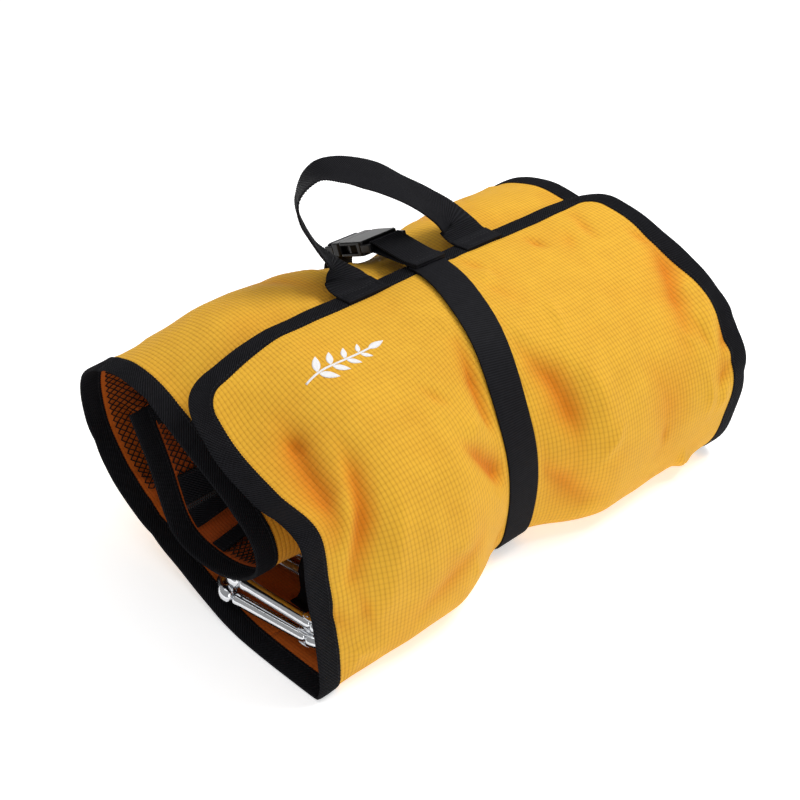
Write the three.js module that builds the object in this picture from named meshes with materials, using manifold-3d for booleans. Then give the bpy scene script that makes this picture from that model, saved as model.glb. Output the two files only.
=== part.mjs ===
// Roll-up gear bag: a rectangle of cloth with taped edges, rolled into a spiral about the X axis,
// its outer end a flap that a side-release buckle and a strap hold shut.
// Millimetres, +X along the roll (its open end that shows the pockets is at -X), front at -Y, +Z up.
// The origin is at the centre of the bottom of the bounding box.
import * as THREE from 'three';
import Module from 'manifold-3d';
import { mergeVertices } from 'three/addons/utils/BufferGeometryUtils.js';

// ---------------------------------------------------------------- driving dimensions
const rollLength = 400;        // along X, over both taped edges
const clothThickness = 2.4;    // shell fabric, lining and coating together
const tapeWidth = 16;          // how far the edge tape reaches in from the edge
const gap = 0.3;               // air between two pieces that touch
const strapWidth = 28;
const strapThickness = 1.6;
const handleWidth = 36;
const flapCornerRadius = 30;
const hingeRow = 3.5;          // the line across the shoulder where the flap bends
const hingeGap = 0.03;         // rows left free on each side of that line
const seam = 0.006;            // rows left free at each end of a wall
const endRow = 25;             // the inner end of the cloth
const pinchWidth = 78;         // how far from the strap its squeeze reaches along X
const endFlare = 90;           // how far from each end the cloth changes shape
const originShift = [0, -2.63, 0];
const tabX = 18;               // middle of the buckle's tab, along X
const handleX = 16;            // middle of the handle, along X
const strapXTop = 17;          // the strap leans: where it leaves the tab
const strapXFront = -11;       // and where it runs down the front

const halfLength = rollLength / 2;
const halfCloth = clothThickness / 2;
const panelHalf = halfLength - tapeWidth;

// The rolled section, in order along the cloth from the flap's edge to the inner end.
// at: [y, z] of the cloth's middle; squeeze, left and right: how far the strap and the two ends move it.
const rows = [
  { at: [33, 170], squeeze: [0, 1], left: [-10, -8], right: [-4, 2] },         // 0 flap edge
  { at: [13, 171], squeeze: [0, 2], left: [-7, -14], right: [-2, 4] },
  { at: [-20, 165], squeeze: [0, 4], left: [0, -30], right: [0, 5] },
  { at: [-66, 150], squeeze: [10, 4], left: [6, -28], right: [-4, -1] },       // 3 shoulder
  { at: [-104, 124], squeeze: [20, -2], left: [6, -7], right: [-6, -3] },
  { at: [-125, 88], squeeze: [26, -2], left: [21, -3], right: [-7, 2] },
  { at: [-128, 48], squeeze: [27, -3], left: [18, -3], right: [-5, 8] },       // 6 front
  { at: [-114, 7], squeeze: [22, 6], left: [4, -5], right: [-3, 3] },          // 7 front bottom fold
  { at: [-70, 1.2], squeeze: [4, 5], left: [0, 0], right: [0, 0] },
  { at: [-24, 1.2], squeeze: [0, 4.5], left: [0, 1], right: [0, 0] },
  { at: [26, 1.2], squeeze: [0, 4.5], left: [0, 12], right: [0, 6] },          // 10 rear of the base
  { at: [78, 14], squeeze: [-4, 2], left: [-2, 14], right: [-2, 10] },
  { at: [113, 40], squeeze: [-10, 2], left: [0, 8], right: [0, 8] },
  { at: [132, 78], squeeze: [-14, 0], left: [5, 6], right: [3, 7] },           // 13 back
  { at: [131, 122], squeeze: [-16, -5], left: [4, 0], right: [6, 5] },
  { at: [109, 156], squeeze: [-15, -10], left: [-7, -13], right: [3, -3] },    // 15 back top
  { at: [67, 170], squeeze: [-4, -9], left: [-2, -24], right: [-2, -3] },
  { at: [10, 155], squeeze: [0, 0], left: [-2, -32], right: [0, 2] },          // 17 under the flap
  { at: [-30, 134], squeeze: [2, 2], left: [0, -29], right: [0, 0] },
  { at: [-62, 105], squeeze: [6, 2], left: [10, -18], right: [0, 0] },
  { at: [-68, 78], squeeze: [6, 2], left: [14, -10], right: [0, 0] },          // 20 curl
  { at: [-40, 52], squeeze: [0, 0], left: [4, -2], right: [0, 0] },
  { at: [0, 42], squeeze: [0, 0], left: [0, -5], right: [0, 0] },
  { at: [40, 48], squeeze: [0, 0], left: [-2, -6], right: [0, 0] },            // 23 return
  { at: [62, 88], squeeze: [0, 0], left: [-3, 0], right: [0, 0] },
  { at: [76, 136], squeeze: [0, 0], left: [0, -16], right: [0, 0] },           // 25 inner end
];

// ---------------------------------------------------------------- looks of the plain solids
const finish = {
  cloth: { color: 0xf2a51e, roughness: 0.8, metalness: 0 },
  tape: { color: 0x17171a, roughness: 0.85, metalness: 0 },
  webbing: { color: 0x141416, roughness: 0.8, metalness: 0 },
  mesh: { color: 0x2b1a10, roughness: 0.8, metalness: 0 },
  plastic: { color: 0x0c0c0d, roughness: 0.3, metalness: 0 },
  steel: { color: 0xd4d6da, roughness: 0.18, metalness: 1 },
  zip: { color: 0x1b1b1d, roughness: 0.5, metalness: 0.2 },
};

const group = new THREE.Group();
group.position.set(...originShift);

function add(name, geometry, look, parent = group) {
  const mesh = new THREE.Mesh(geometry, new THREE.MeshStandardMaterial(finish[look]));
  mesh.name = name;
  parent.add(mesh);
  return mesh;
}

// ---------------------------------------------------------------- the rolled cloth as a surface
const smooth = (t) => {
  const c = Math.min(Math.max(t, 0), 1);
  return c * c * (3 - 2 * c);
};
const leftShare = (x) => smooth((-x - (halfLength - endFlare)) / endFlare);
const rightShare = (x) => smooth((x - (halfLength - endFlare)) / endFlare);

// The strap runs at a slant over the flap, straight down the front, and back to the buckle behind.
function strapX(row) {
  const down = smooth((row - 0.5) / 4);
  const back = smooth((row - 9) / 5);
  return strapXTop + (strapXFront - strapXTop) * down + (tabX - strapXFront) * back;
}

function squeezeShare(x, row) {
  const reach = (x - strapX(row)) / pinchWidth;
  return Math.abs(reach) < 1 ? (1 - reach * reach) ** 2 : 0;
}

function rowPoint(x, row) {
  const { at, squeeze, left, right } = rows[row];
  const coordinate = (k) => at[k]
    + squeeze[k] * squeezeShare(x, row) + left[k] * leftShare(x) + right[k] * rightShare(x);
  return new THREE.Vector3(x, coordinate(0), coordinate(1));
}

const sections = new Map();
function sectionAt(x) {
  if (!sections.has(x)) {
    const points = rows.map((_, row) => rowPoint(x, row));
    sections.set(x, new THREE.CatmullRomCurve3(points, false, 'centripetal'));
  }
  return sections.get(x);
}

// A point of the cloth: x along the roll, row along the spiral, out from the cloth's middle
// (outwards is the face that shows on the closed bag). The cloth lies on the ground, not under it.
function cloth(x, row, out) {
  const curve = sectionAt(x);
  const step = 1e-3;
  const point = curve.getPoint(row / endRow);
  const before = curve.getPoint(Math.max(row / endRow - step, 0));
  const after = curve.getPoint(Math.min(row / endRow + step, 1));
  const along = after.sub(before).normalize();
  point.z = Math.max(point.z, halfCloth);
  return new THREE.Vector3(x, point.y + out * along.z, point.z - out * along.y);
}

// The row that lies a given distance along the cloth from the flap's edge.
function rowAtDistance(x, distance) {
  const curve = sectionAt(x);
  curve.arcLengthDivisions = 600;
  return curve.getUtoTmapping(0, distance) * endRow;
}

// ---------------------------------------------------------------- closed solids from grids of points
const spread = (from, to, count) => Array.from({ length: count + 1 }, (_, i) => from + (to - from) * i / count);

// Two grids of points, one for each face, joined round their rims.
function slab(face, back) {
  const rowsIn = face.length;
  const columns = face[0].length;
  const positions = [...face.flat(), ...back.flat()].flatMap((p) => [p.x, p.y, p.z]);
  const front = (i, j) => i * columns + j;
  const rear = (i, j) => rowsIn * columns + i * columns + j;
  const triangles = [];
  const quad = (a, b, c, d) => triangles.push(a, b, c, a, c, d);
  for (let i = 0; i < rowsIn - 1; i += 1) {
    for (let j = 0; j < columns - 1; j += 1) {
      quad(front(i, j), front(i + 1, j), front(i + 1, j + 1), front(i, j + 1));
      quad(rear(i, j), rear(i, j + 1), rear(i + 1, j + 1), rear(i + 1, j));
    }
  }
  for (let i = 0; i < rowsIn - 1; i += 1) {
    quad(front(i, 0), rear(i, 0), rear(i + 1, 0), front(i + 1, 0));
    quad(front(i, columns - 1), front(i + 1, columns - 1), rear(i + 1, columns - 1), rear(i, columns - 1));
  }
  for (let j = 0; j < columns - 1; j += 1) {
    quad(front(0, j), front(0, j + 1), rear(0, j + 1), rear(0, j));
    quad(front(rowsIn - 1, j), rear(rowsIn - 1, j), rear(rowsIn - 1, j + 1), front(rowsIn - 1, j + 1));
  }
  return outward(positions, triangles);
}

// A closed geometry with its faces turned outwards, whichever way its points were given.
function outward(positions, triangles) {
  let volume = 0;
  const corner = (k) => new THREE.Vector3().fromArray(positions, 3 * k);
  for (let i = 0; i < triangles.length; i += 3) {
    volume += corner(triangles[i]).dot(corner(triangles[i + 1]).cross(corner(triangles[i + 2])));
  }
  if (volume < 0) triangles.reverse();
  const geometry = new THREE.BufferGeometry();
  geometry.setAttribute('position', new THREE.Float32BufferAttribute(positions, 3));
  geometry.setIndex(triangles);
  return geometry;
}

// A piece of cloth or tape that follows the roll: xs(row) gives its stations along X.
function follow(rowList, xs, out, thickness) {
  const side = (offset) => rowList.map((row) => xs(row).map((x) => cloth(x, row, offset)));
  return slab(side(out + thickness / 2), side(out - thickness / 2));
}

const shellSteps = 14;          // stations along X in each wall
const panelStations = (step) => spread(-panelHalf + gap, panelHalf - gap, step);

// Stations across a wall of the shell, with one under each edge and the middle of the strap.
const wallStations = (row) => {
  const [low, high] = [strapX(row) - strapWidth / 2, strapX(row) + strapWidth / 2];
  const side = (shellSteps - 2) / 2;
  return [
    ...spread(-panelHalf + gap, low, side), strapX(row), ...spread(high, panelHalf - gap, side),
  ];
};

// ---------------------------------------------------------------- the shell, one sheet in six walls
function shellWall(name, from, to, steps) {
  add(name, follow(spread(from + seam, to - seam, steps), wallStations, 0, clothThickness), 'cloth');
}

shellWall('shell_front', hingeRow + hingeGap, 7, 8);
shellWall('shell_base', 7, 10.4, 6);
shellWall('shell_back', 10.4, 14.4, 8);
shellWall('shell_top', 14.4, 17, 8);
shellWall('shell_inner', 17, endRow - 0.34, 18);

// ---------------------------------------------------------------- the taped edges of the shell
function sideTape(name, side) {
  const inside = side * (panelHalf + gap);
  const stations = [inside, side * halfLength].sort((a, b) => a - b);
  add(name, follow(spread(hingeRow + hingeGap, endRow, 56), () => stations, 0, clothThickness), 'tape');
}

sideTape('edge_tape_left', -1);
sideTape('edge_tape_right', 1);
add('edge_tape_inner_end', follow(spread(endRow - 0.33, endRow, 1), wallStations, 0, clothThickness), 'tape');

// ---------------------------------------------------------------- the flap and its tape
// Distance from the flap's straight edge to its rounded outline, inset by the given amount.
function flapOutline(x, inset) {
  const radius = flapCornerRadius - inset;
  const fromSide = halfLength - inset - Math.abs(x);
  const intoCorner = Math.max(radius - fromSide, 0);
  return inset + radius - Math.sqrt(Math.max(radius * radius - intoCorner * intoCorner, 0));
}

function flapPanel() {
  const points = (offset) => spread(0, 1, 8).map((share) => wallStations(0).map((x) => {
    const start = rowAtDistance(x, flapOutline(x, tapeWidth + 4 * gap));
    return cloth(x, start + (hingeRow - hingeGap - start) * share, offset);
  }));
  return slab(points(halfCloth), points(-halfCloth));
}

// The tape runs up one side, round the corner, along the edge and down the other side.
function flapTape() {
  const path = [];
  const turn = 6;
  const cornerX = halfLength - flapCornerRadius;
  const sideSteps = 6;
  const cornerRow = (x) => rowAtDistance(x, flapCornerRadius);
  for (let i = 0; i < sideSteps; i += 1) {
    path.push({ side: i / sideSteps });
  }
  for (let i = 0; i <= turn; i += 1) {
    path.push({ angle: (i / turn) * Math.PI / 2 });
  }
  const onPath = (place, sign, inset, offset) => {
    const radius = flapCornerRadius - inset;
    if (place.side !== undefined) {
      const x = sign * (halfLength - inset);
      const top = cornerRow(x);
      const low = hingeRow - hingeGap;
      return cloth(x, low + (top - low) * place.side, offset);
    }
    const x = sign * (cornerX + radius * Math.cos(place.angle));
    const distance = flapCornerRadius - radius * Math.sin(place.angle);
    return cloth(x, rowAtDistance(x, distance), offset);
  };
  const line = (inset, offset) => [
    ...path.map((place) => onPath(place, -1, inset, offset)),
    ...spread(-cornerX, cornerX, 14).slice(1, -1).map((x) => cloth(x, rowAtDistance(x, inset), offset)),
    ...[...path].reverse().map((place) => onPath(place, 1, inset, offset)),
  ];
  const face = (offset) => [line(0, offset), line(tapeWidth, offset)];
  return slab(face(halfCloth), face(-halfCloth));
}

add('flap_panel', flapPanel(), 'cloth');
add('edge_tape_flap', flapTape(), 'tape');

// ---------------------------------------------------------------- strap
const strapLift = 1.1;         // air under the strap, for the flat facets of what it lies on
const strapOut = halfCloth + strapLift + strapThickness / 2;
const strapStations = (row) => spread(strapX(row) - strapWidth / 2, strapX(row) + strapWidth / 2, 2);

function strapPiece(name, from, to, steps) {
  add(name, follow(spread(from, to, steps), strapStations, strapOut, strapThickness), 'webbing');
}

strapPiece('strap_top', 0.45, hingeRow - hingeGap, 8);
strapPiece('strap_front', hingeRow + hingeGap, 6.9, 9);
strapPiece('strap_under', 6.92, 10.8, 8);
strapPiece('strap_back', 10.82, 14.3, 9);

// ---------------------------------------------------------------- pockets on the lining
const pocketOut = -5;
const pocketThickness = 1.2;

function liningPiece(name, from, to, steps, look, stations) {
  add(name, follow(spread(from, to, steps), stations, pocketOut, pocketThickness), look);
}

const straightStations = () => panelStations(4);
liningPiece('mesh_pocket_back', 11.5, 14.5, 7, 'mesh', wallStations);
liningPiece('pocket_hem_back', 14.52, 14.9, 1, 'tape', wallStations);
liningPiece('mesh_pocket_lower', 20.7, 22.1, 5, 'mesh', wallStations);
liningPiece('pocket_hem_lower', 22.12, 22.42, 1, 'tape', straightStations);
liningPiece('mesh_pocket_upper', 23.72, 24.6, 3, 'mesh', straightStations);
liningPiece('pocket_edge_upper', 24.62, 24.95, 1, 'tape', straightStations);

// ---------------------------------------------------------------- the zip of the upper pocket
const coilRow = 23.28;
const coilRadius = 1.4;
liningPiece('zip_tape_lower', 22.86, coilRow - 0.06, 2, 'tape', straightStations);
liningPiece('zip_tape_upper', coilRow + 0.06, 23.7, 2, 'tape', straightStations);

function zipCoil() {
  const stations = panelStations(4);
  const loop = spread(0, 7, 7).map((i) => i * Math.PI / 4);
  const rings = stations.map((x) => loop.map((angle) => {
    const out = pocketOut + coilRadius * Math.sin(angle);
    const row = coilRow + 0.028 * Math.cos(angle);
    return cloth(x, row, out);
  }));
  return ringSolid(rings);
}

// A closed solid through a list of rings with the same number of points, flat caps at both ends.
function ringSolid(rings) {
  const sides = rings[0].length;
  const positions = rings.flat().flatMap((p) => [p.x, p.y, p.z]);
  const triangles = [];
  for (let i = 0; i < rings.length - 1; i += 1) {
    for (let j = 0; j < sides; j += 1) {
      const k = (j + 1) % sides;
      const [a, b, c, d] = [i * sides + j, i * sides + k, (i + 1) * sides + k, (i + 1) * sides + j];
      triangles.push(a, b, c, a, c, d);
    }
  }
  const last = (rings.length - 1) * sides;
  for (let j = 1; j < sides - 1; j += 1) {
    triangles.push(0, j + 1, j);
    triangles.push(last, last + j, last + j + 1);
  }
  return outward(positions, triangles);
}

add('zip_coil', zipCoil(), 'zip');

// ---------------------------------------------------------------- solids cut and joined
const wasm = await Module();
wasm.setup();

function solid(geometry, placeAt = [0, 0, 0]) {
  const bare = geometry.clone().translate(...placeAt);
  bare.deleteAttribute('normal');
  bare.deleteAttribute('uv');
  const merged = mergeVertices(bare, 1e-4);
  return new wasm.Manifold(new wasm.Mesh({
    numProp: 3,
    vertProperties: new Float32Array(merged.attributes.position.array),
    triVerts: new Uint32Array(merged.index.array),
  }));
}

function geometryOf(manifold) {
  const { vertProperties, triVerts } = manifold.getMesh();
  const geometry = new THREE.BufferGeometry();
  geometry.setAttribute('position', new THREE.Float32BufferAttribute(vertProperties, 3));
  geometry.setIndex(Array.from(triVerts));
  return geometry;
}

const box = (low, high) => solid(
  new THREE.BoxGeometry(high[0] - low[0], high[1] - low[1], high[2] - low[2]),
  low.map((value, k) => (value + high[k]) / 2),
);

// A plate with rounded corners and softened edges, from its low corner to its high corner.
function roundedPlate(low, high, corner, edge = 0.8) {
  const [w, l] = [high[0] - low[0] - 2 * edge, high[1] - low[1] - 2 * edge];
  const r = Math.max(corner - edge, 0.2);
  const shape = new THREE.Shape();
  shape.absarc(w / 2 - r, l / 2 - r, r, 0, Math.PI / 2);
  shape.absarc(-w / 2 + r, l / 2 - r, r, Math.PI / 2, Math.PI);
  shape.absarc(-w / 2 + r, -l / 2 + r, r, Math.PI, 1.5 * Math.PI);
  shape.absarc(w / 2 - r, -l / 2 + r, r, 1.5 * Math.PI, 2 * Math.PI);
  const depth = high[2] - low[2] - 2 * edge;
  const settings = { depth, bevelThickness: edge, bevelSize: edge, bevelSegments: 1, curveSegments: 3 };
  const middle = low.map((value, k) => (value + high[k]) / 2);
  return solid(new THREE.ExtrudeGeometry(shape, settings), [middle[0], middle[1], middle[2] - depth / 2]);
}

// ---------------------------------------------------------------- zip slider and its pull
const sliderX = 160;
const sliderCoil = cloth(sliderX, coilRow, pocketOut);
const sliderUp = cloth(sliderX, coilRow, pocketOut - 1).sub(sliderCoil).normalize();
const alongX = new THREE.Vector3(1, 0, 0);
const slider = new THREE.Group();
slider.position.copy(sliderCoil).addScaledVector(sliderUp, 0.6);
slider.quaternion.setFromRotationMatrix(
  new THREE.Matrix4().makeBasis(alongX, sliderUp.clone().cross(alongX), sliderUp),
);
group.add(slider);

// The slider straddles the coil; its bridge carries the pull.
function zipSlider() {
  const body = roundedPlate([-6, -4.2, 0.9], [6, 4.2, 3.6], 2, 0.4);
  const channel = box([-7, -1.9, -1], [7, 1.9, 1.9]);
  const bridge = roundedPlate([-4, -1.4, 3.2], [4, 1.4, 7.2], 0.6, 0.3);
  const eye = box([-2.3, -3, 3.55], [2.3, 3, 6.25]);
  return geometryOf(body.subtract(channel).add(bridge).subtract(eye));
}

// The pull hangs in the bridge's eye by a bar and lies towards the open end.
function zipPull() {
  const tab = roundedPlate([-27, -3.4, 4.1], [-6, 3.4, 5.7], 2.6, 0.4);
  const eyePlate = roundedPlate([-8, -3.4, 4.1], [0.9, 3.4, 5.7], 0.8, 0.3);
  const window = box([-5.6, -1.8, 3], [-0.9, 1.8, 7]);
  return geometryOf(tab.add(eyePlate).subtract(window));
}

add('zip_slider', zipSlider(), 'zip', slider);
add('zip_pull', zipPull(), 'zip', slider);

// ---------------------------------------------------------------- side-release buckle
// Its own frame: x across, y from the socket's webbing bar to the plug's, z out of the bag.
const buckleBar = [tabX, 64, 176.5];
const buckleTilt = -22 * Math.PI / 180;
const plugBarAt = 50;
const barHalf = 1.8;
const buckle = new THREE.Group();
buckle.position.set(...buckleBar);
buckle.rotation.x = buckleTilt;
group.add(buckle);

function buckleSocket() {
  const housing = roundedPlate([-18, 6.8, -5.5], [18, 34, 5.5], 3);
  const mouth = box([-14, 11, -3.3], [14, 36, 3.3]);
  const openSides = box([-20, 12.5, -3.3], [20, 36, 3.3]);
  const lugs = [-1, 1].map((side) => roundedPlate(
    [side > 0 ? 14.8 : -18, -2.4, -3], [side > 0 ? 18 : -14.8, 8.5, 3], 1, 0.5,
  ));
  const bar = box([-15.4, -barHalf, -barHalf], [15.4, barHalf, barHalf]);
  return geometryOf(housing.add(lugs[0]).add(lugs[1]).add(bar).subtract(mouth).subtract(openSides));
}

function bucklePlug() {
  const flange = roundedPlate([-17.5, 34.5, -5.2], [17.5, 44, 5.2], 2.5);
  const guide = roundedPlate([-4, 13, -2.6], [4, 36, 2.6], 2, 0.5);
  const lugs = [-1, 1].map((side) => roundedPlate(
    [side > 0 ? 14.8 : -17.5, 42.5, -3], [side > 0 ? 17.5 : -14.8, plugBarAt + 2.4, 3], 1, 0.5,
  ));
  const bar = box([-15.4, plugBarAt - barHalf, -barHalf], [15.4, plugBarAt + barHalf, barHalf]);
  return geometryOf(flange.add(guide).add(lugs[0]).add(lugs[1]).add(bar));
}

// A prong is an arm with a shoulder that fills the socket's side window.
function buckleProng(side) {
  const arm = [[8.6, 15], [9.4, 12.6], [12, 12.6], [17.6, 20.5], [17.6, 22.5], [13, 23.5], [12.6, 34.1], [8.6, 34.1]];
  const shape = new THREE.Shape(arm.map(([x, y]) => new THREE.Vector2(side * x, y)));
  return new THREE.ExtrudeGeometry(shape, { depth: 5.2, bevelEnabled: false }).translate(0, 0, -2.6);
}

add('buckle_socket', buckleSocket(), 'plastic', buckle);
add('buckle_plug', bucklePlug(), 'plastic', buckle);
add('buckle_prong_left', buckleProng(-1), 'plastic', buckle);
add('buckle_prong_right', buckleProng(1), 'plastic', buckle);

// The tab is a doubled strap: sewn over the flap's edge, then round the socket's bar.
const tabThickness = 2.4;
const tabStart = strapOut + strapThickness / 2 + gap;
const barClearance = barHalf * Math.SQRT2 + gap;
const wrapRadius = barClearance + 1.3;

function ringHole(centre) {
  const hole = new THREE.Path();
  hole.absarc(centre[0], centre[1], barClearance, 0, 2 * Math.PI, true);
  return hole;
}

// An outline given as [y, z] pairs, drawn out along X over the strap's width.
function acrossStrap(shape) {
  return new THREE.ExtrudeGeometry(shape, { depth: strapWidth, bevelEnabled: false, curveSegments: 14 })
    .applyMatrix4(new THREE.Matrix4().makeBasis(
      new THREE.Vector3(0, 1, 0), new THREE.Vector3(0, 0, 1), alongX,
    ))
    .translate(tabX - strapWidth / 2, 0, 0);
}

function buckleTab() {
  const centre = [buckleBar[1], buckleBar[2]];
  const shape = new THREE.Shape();
  const under = [0.78, 0.4, 0].map((row) => cloth(tabX, row, tabStart));
  const over = [0, 0.4, 0.78].map((row) => cloth(tabX, row, tabStart + tabThickness));
  shape.moveTo(under[0].y, under[0].z);
  under.slice(1).forEach((p) => shape.lineTo(p.y, p.z));
  shape.absarc(centre[0], centre[1], wrapRadius, -0.62 * Math.PI, 0.62 * Math.PI, false);
  over.forEach((p) => shape.lineTo(p.y, p.z));
  shape.closePath();
  shape.holes.push(ringHole(centre));
  return acrossStrap(shape);
}

// The strap's sewn end goes round the plug's bar and hangs down behind.
function strapEnd() {
  const centre = [
    buckleBar[1] + plugBarAt * Math.cos(buckleTilt),
    buckleBar[2] + plugBarAt * Math.sin(buckleTilt),
  ];
  const tail = 11;
  const lean = -0.30 * Math.PI;
  const [dy, dz] = [Math.cos(lean), Math.sin(lean)];
  const half = tabThickness / 2;
  const shape = new THREE.Shape();
  shape.moveTo(centre[0] + tail * dy - half * dz, centre[1] + tail * dz + half * dy);
  shape.absarc(centre[0], centre[1], wrapRadius, lean + 0.3 * Math.PI, lean + 1.7 * Math.PI, false);
  shape.lineTo(centre[0] + tail * dy + half * dz, centre[1] + tail * dz - half * dy);
  shape.closePath();
  shape.holes.push(ringHole(centre));
  return acrossStrap(shape);
}

add('buckle_tab', buckleTab(), 'webbing');
add('strap_end', strapEnd(), 'webbing');

// ---------------------------------------------------------------- carry handle
const handleThickness = 1.8;
const handleSpread = 56;       // each foot's distance from the handle's middle along X
const handleFeet = [handleX - handleSpread, handleX + handleSpread];
const padOut = halfCloth + gap + handleThickness / 2;

handleFeet.forEach((x, i) => {
  const stations = spread(x - handleWidth / 2, x + handleWidth / 2, 2);
  add(['handle_pad_left', 'handle_pad_right'][i], follow(spread(0.02, 0.8, 3), () => stations, padOut, handleThickness), 'webbing');
});

// The webbing's middle line and the way across it, from the left foot to the right one.
const handleLine = [
  { at: [handleFeet[0], 36.5, 174.5], across: [1, 0, 0] },
  { at: [-39, 45, 176.2], across: [0.97, 0.2, -0.1] },
  { at: [-41, 54, 183], across: [0.75, 0.55, -0.3] },
  { at: [-48, 60, 194], across: [0.55, 0.78, -0.25] },
  { at: [-54, 65, 208], across: [0.5, 0.85, -0.1] },
  { at: [-58, 68, 221], across: [0.55, 0.82, -0.1] },
  { at: [-57, 69, 233], across: [0.58, 0.78, -0.22] },
  { at: [-47, 68, 243], across: [0.4, 0.88, -0.25] },
  { at: [-33, 66, 244.5], across: [0.2, 0.93, 0.05] },
  { at: [-12, 65, 238.5], across: [0.16, 0.93, 0.33] },
  { at: [16, 63, 225], across: [0.27, 0.87, 0.42] },
  { at: [38, 61, 209.5], across: [0.37, 0.85, 0.35] },
  { at: [60, 57, 192], across: [0.62, 0.72, 0.3] },
  { at: [71, 50, 180], across: [0.92, 0.35, 0.13] },
  { at: [handleFeet[1], 43, 176], across: [1, 0, 0] },
  { at: [handleFeet[1], 36.5, 174.5], across: [1, 0, 0] },
];

function handleLoop() {
  const vector = (list) => new THREE.Vector3(...list);
  const middle = new THREE.CatmullRomCurve3(handleLine.map((entry) => vector(entry.at)), false, 'centripetal');
  const sideways = new THREE.CatmullRomCurve3(handleLine.map((entry) => vector(entry.across)), false, 'centripetal');
  const face = (offset) => spread(0, 1, 44).map((t) => {
    const centre = middle.getPoint(t);
    const tangent = middle.getTangent(t);
    const side = sideways.getPoint(t);
    const across = side.addScaledVector(tangent, -side.dot(tangent)).normalize();
    const normal = tangent.clone().cross(across).normalize();
    return spread(-handleWidth / 2, handleWidth / 2, 2).map((w) => centre.clone()
      .addScaledVector(across, w).addScaledVector(normal, offset));
  });
  return slab(face(handleThickness / 2), face(-handleThickness / 2));
}

add('handle_loop', handleLoop(), 'webbing');

// ---------------------------------------------------------------- oval carabiners on their loop
// Each lies flat: local x along the gate from its hinge to its nose, the gate side at -y, z down.
const rodRadius = 5;
const gateRadius = 4.2;
const ovalHalfLength = 52;
const ovalHalfWidth = 23;
const ovalCorner = 19;
const gateHinge = -28;
const gateTip = 30;
const rivetRadius = 1.2;

// The rod's middle line, from beside the gate's hinge, round the spine, to the nose.
function rodLine() {
  const cx = ovalHalfLength - ovalCorner;
  const cy = ovalHalfWidth - ovalCorner;
  const corner = (x, y, from) => spread(0, Math.PI / 2, 4).map((a) => new THREE.Vector3(
    x + ovalCorner * Math.cos(from - a), y + ovalCorner * Math.sin(from - a), 0,
  ));
  return new THREE.CatmullRomCurve3([
    new THREE.Vector3(gateHinge - gateRadius - 0.4, -ovalHalfWidth, 0),
    ...corner(-cx, -cy, -Math.PI / 2).slice(1),
    ...corner(-cx, cy, Math.PI),
    new THREE.Vector3(0, ovalHalfWidth, 0),
    ...corner(cx, cy, Math.PI / 2),
    ...corner(cx, -cy, 0).slice(0, -1),
    new THREE.Vector3(gateTip + 1, -ovalHalfWidth, 0),
  ], false, 'centripetal');
}

const circle = (radius) => new THREE.Shape().absarc(0, 0, radius, 0, 2 * Math.PI);

function carabinerFrame() {
  const settings = { steps: 38, curveSegments: 4, bevelEnabled: false, extrudePath: rodLine() };
  const rod = solid(new THREE.ExtrudeGeometry(circle(rodRadius), settings));
  const cheeks = [-1, 1].map((side) => box(
    [gateHinge - 9, -ovalHalfWidth - 3, side > 0 ? 4.4 : -5.6],
    [gateHinge + 3, -ovalHalfWidth + 3, side > 0 ? 5.6 : -4.4],
  ));
  const clearance = box(
    [gateHinge - gateRadius - 0.4, -ovalHalfWidth - 6, -4.5], [gateHinge + 8, -ovalHalfWidth + 6, 4.5],
  );
  return geometryOf(rod.subtract(clearance).add(cheeks[0]).add(cheeks[1]));
}

function carabinerGate() {
  const profile = [new THREE.Vector2(0, -gateRadius)];
  spread(-Math.PI / 2, 0, 4).slice(1).forEach((a) => profile.push(
    new THREE.Vector2(gateRadius * Math.cos(a), gateRadius * Math.sin(a)),
  ));
  const length = gateTip - gateHinge;
  profile.push(new THREE.Vector2(gateRadius, length - 5));
  profile.push(new THREE.Vector2(gateRadius - 1.2, length - 3.6));
  profile.push(new THREE.Vector2(gateRadius - 1.2, length - 1.6));
  profile.push(new THREE.Vector2(gateRadius - 0.2, length));
  profile.push(new THREE.Vector2(0, length));
  const tube = new THREE.LatheGeometry(profile, 14).rotateZ(-Math.PI / 2);
  const hole = new THREE.CylinderGeometry(rivetRadius + 0.2, rivetRadius + 0.2, 12, 12).rotateX(Math.PI / 2);
  const cut = solid(tube).subtract(solid(hole));
  return geometryOf(cut).translate(gateHinge, -ovalHalfWidth, 0);
}

function carabinerRivet() {
  return new THREE.CylinderGeometry(rivetRadius, rivetRadius, 8.6, 12)
    .rotateX(Math.PI / 2)
    .translate(gateHinge, -ovalHalfWidth, 0);
}

const carabiners = [
  { name: 'lower', at: [-162.5, -41, 15.2], turn: 10 },
  { name: 'upper', at: [-158.5, -45, 27.2], turn: 7 },
];

carabiners.forEach(({ name, at, turn }) => {
  const place = new THREE.Group();
  const angle = turn * Math.PI / 180;
  const alongGate = new THREE.Vector3(-Math.sin(angle), Math.cos(angle), 0);
  const inwards = new THREE.Vector3(Math.cos(angle), Math.sin(angle), 0);
  place.position.set(...at);
  place.quaternion.setFromRotationMatrix(
    new THREE.Matrix4().makeBasis(alongGate, inwards, new THREE.Vector3(0, 0, -1)),
  );
  group.add(place);
  add(`carabiner_${name}_frame`, carabinerFrame(), 'steel', place);
  add(`carabiner_${name}_gate`, carabinerGate(), 'steel', place);
  add(`carabiner_${name}_rivet`, carabinerRivet(), 'steel', place);
});

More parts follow.
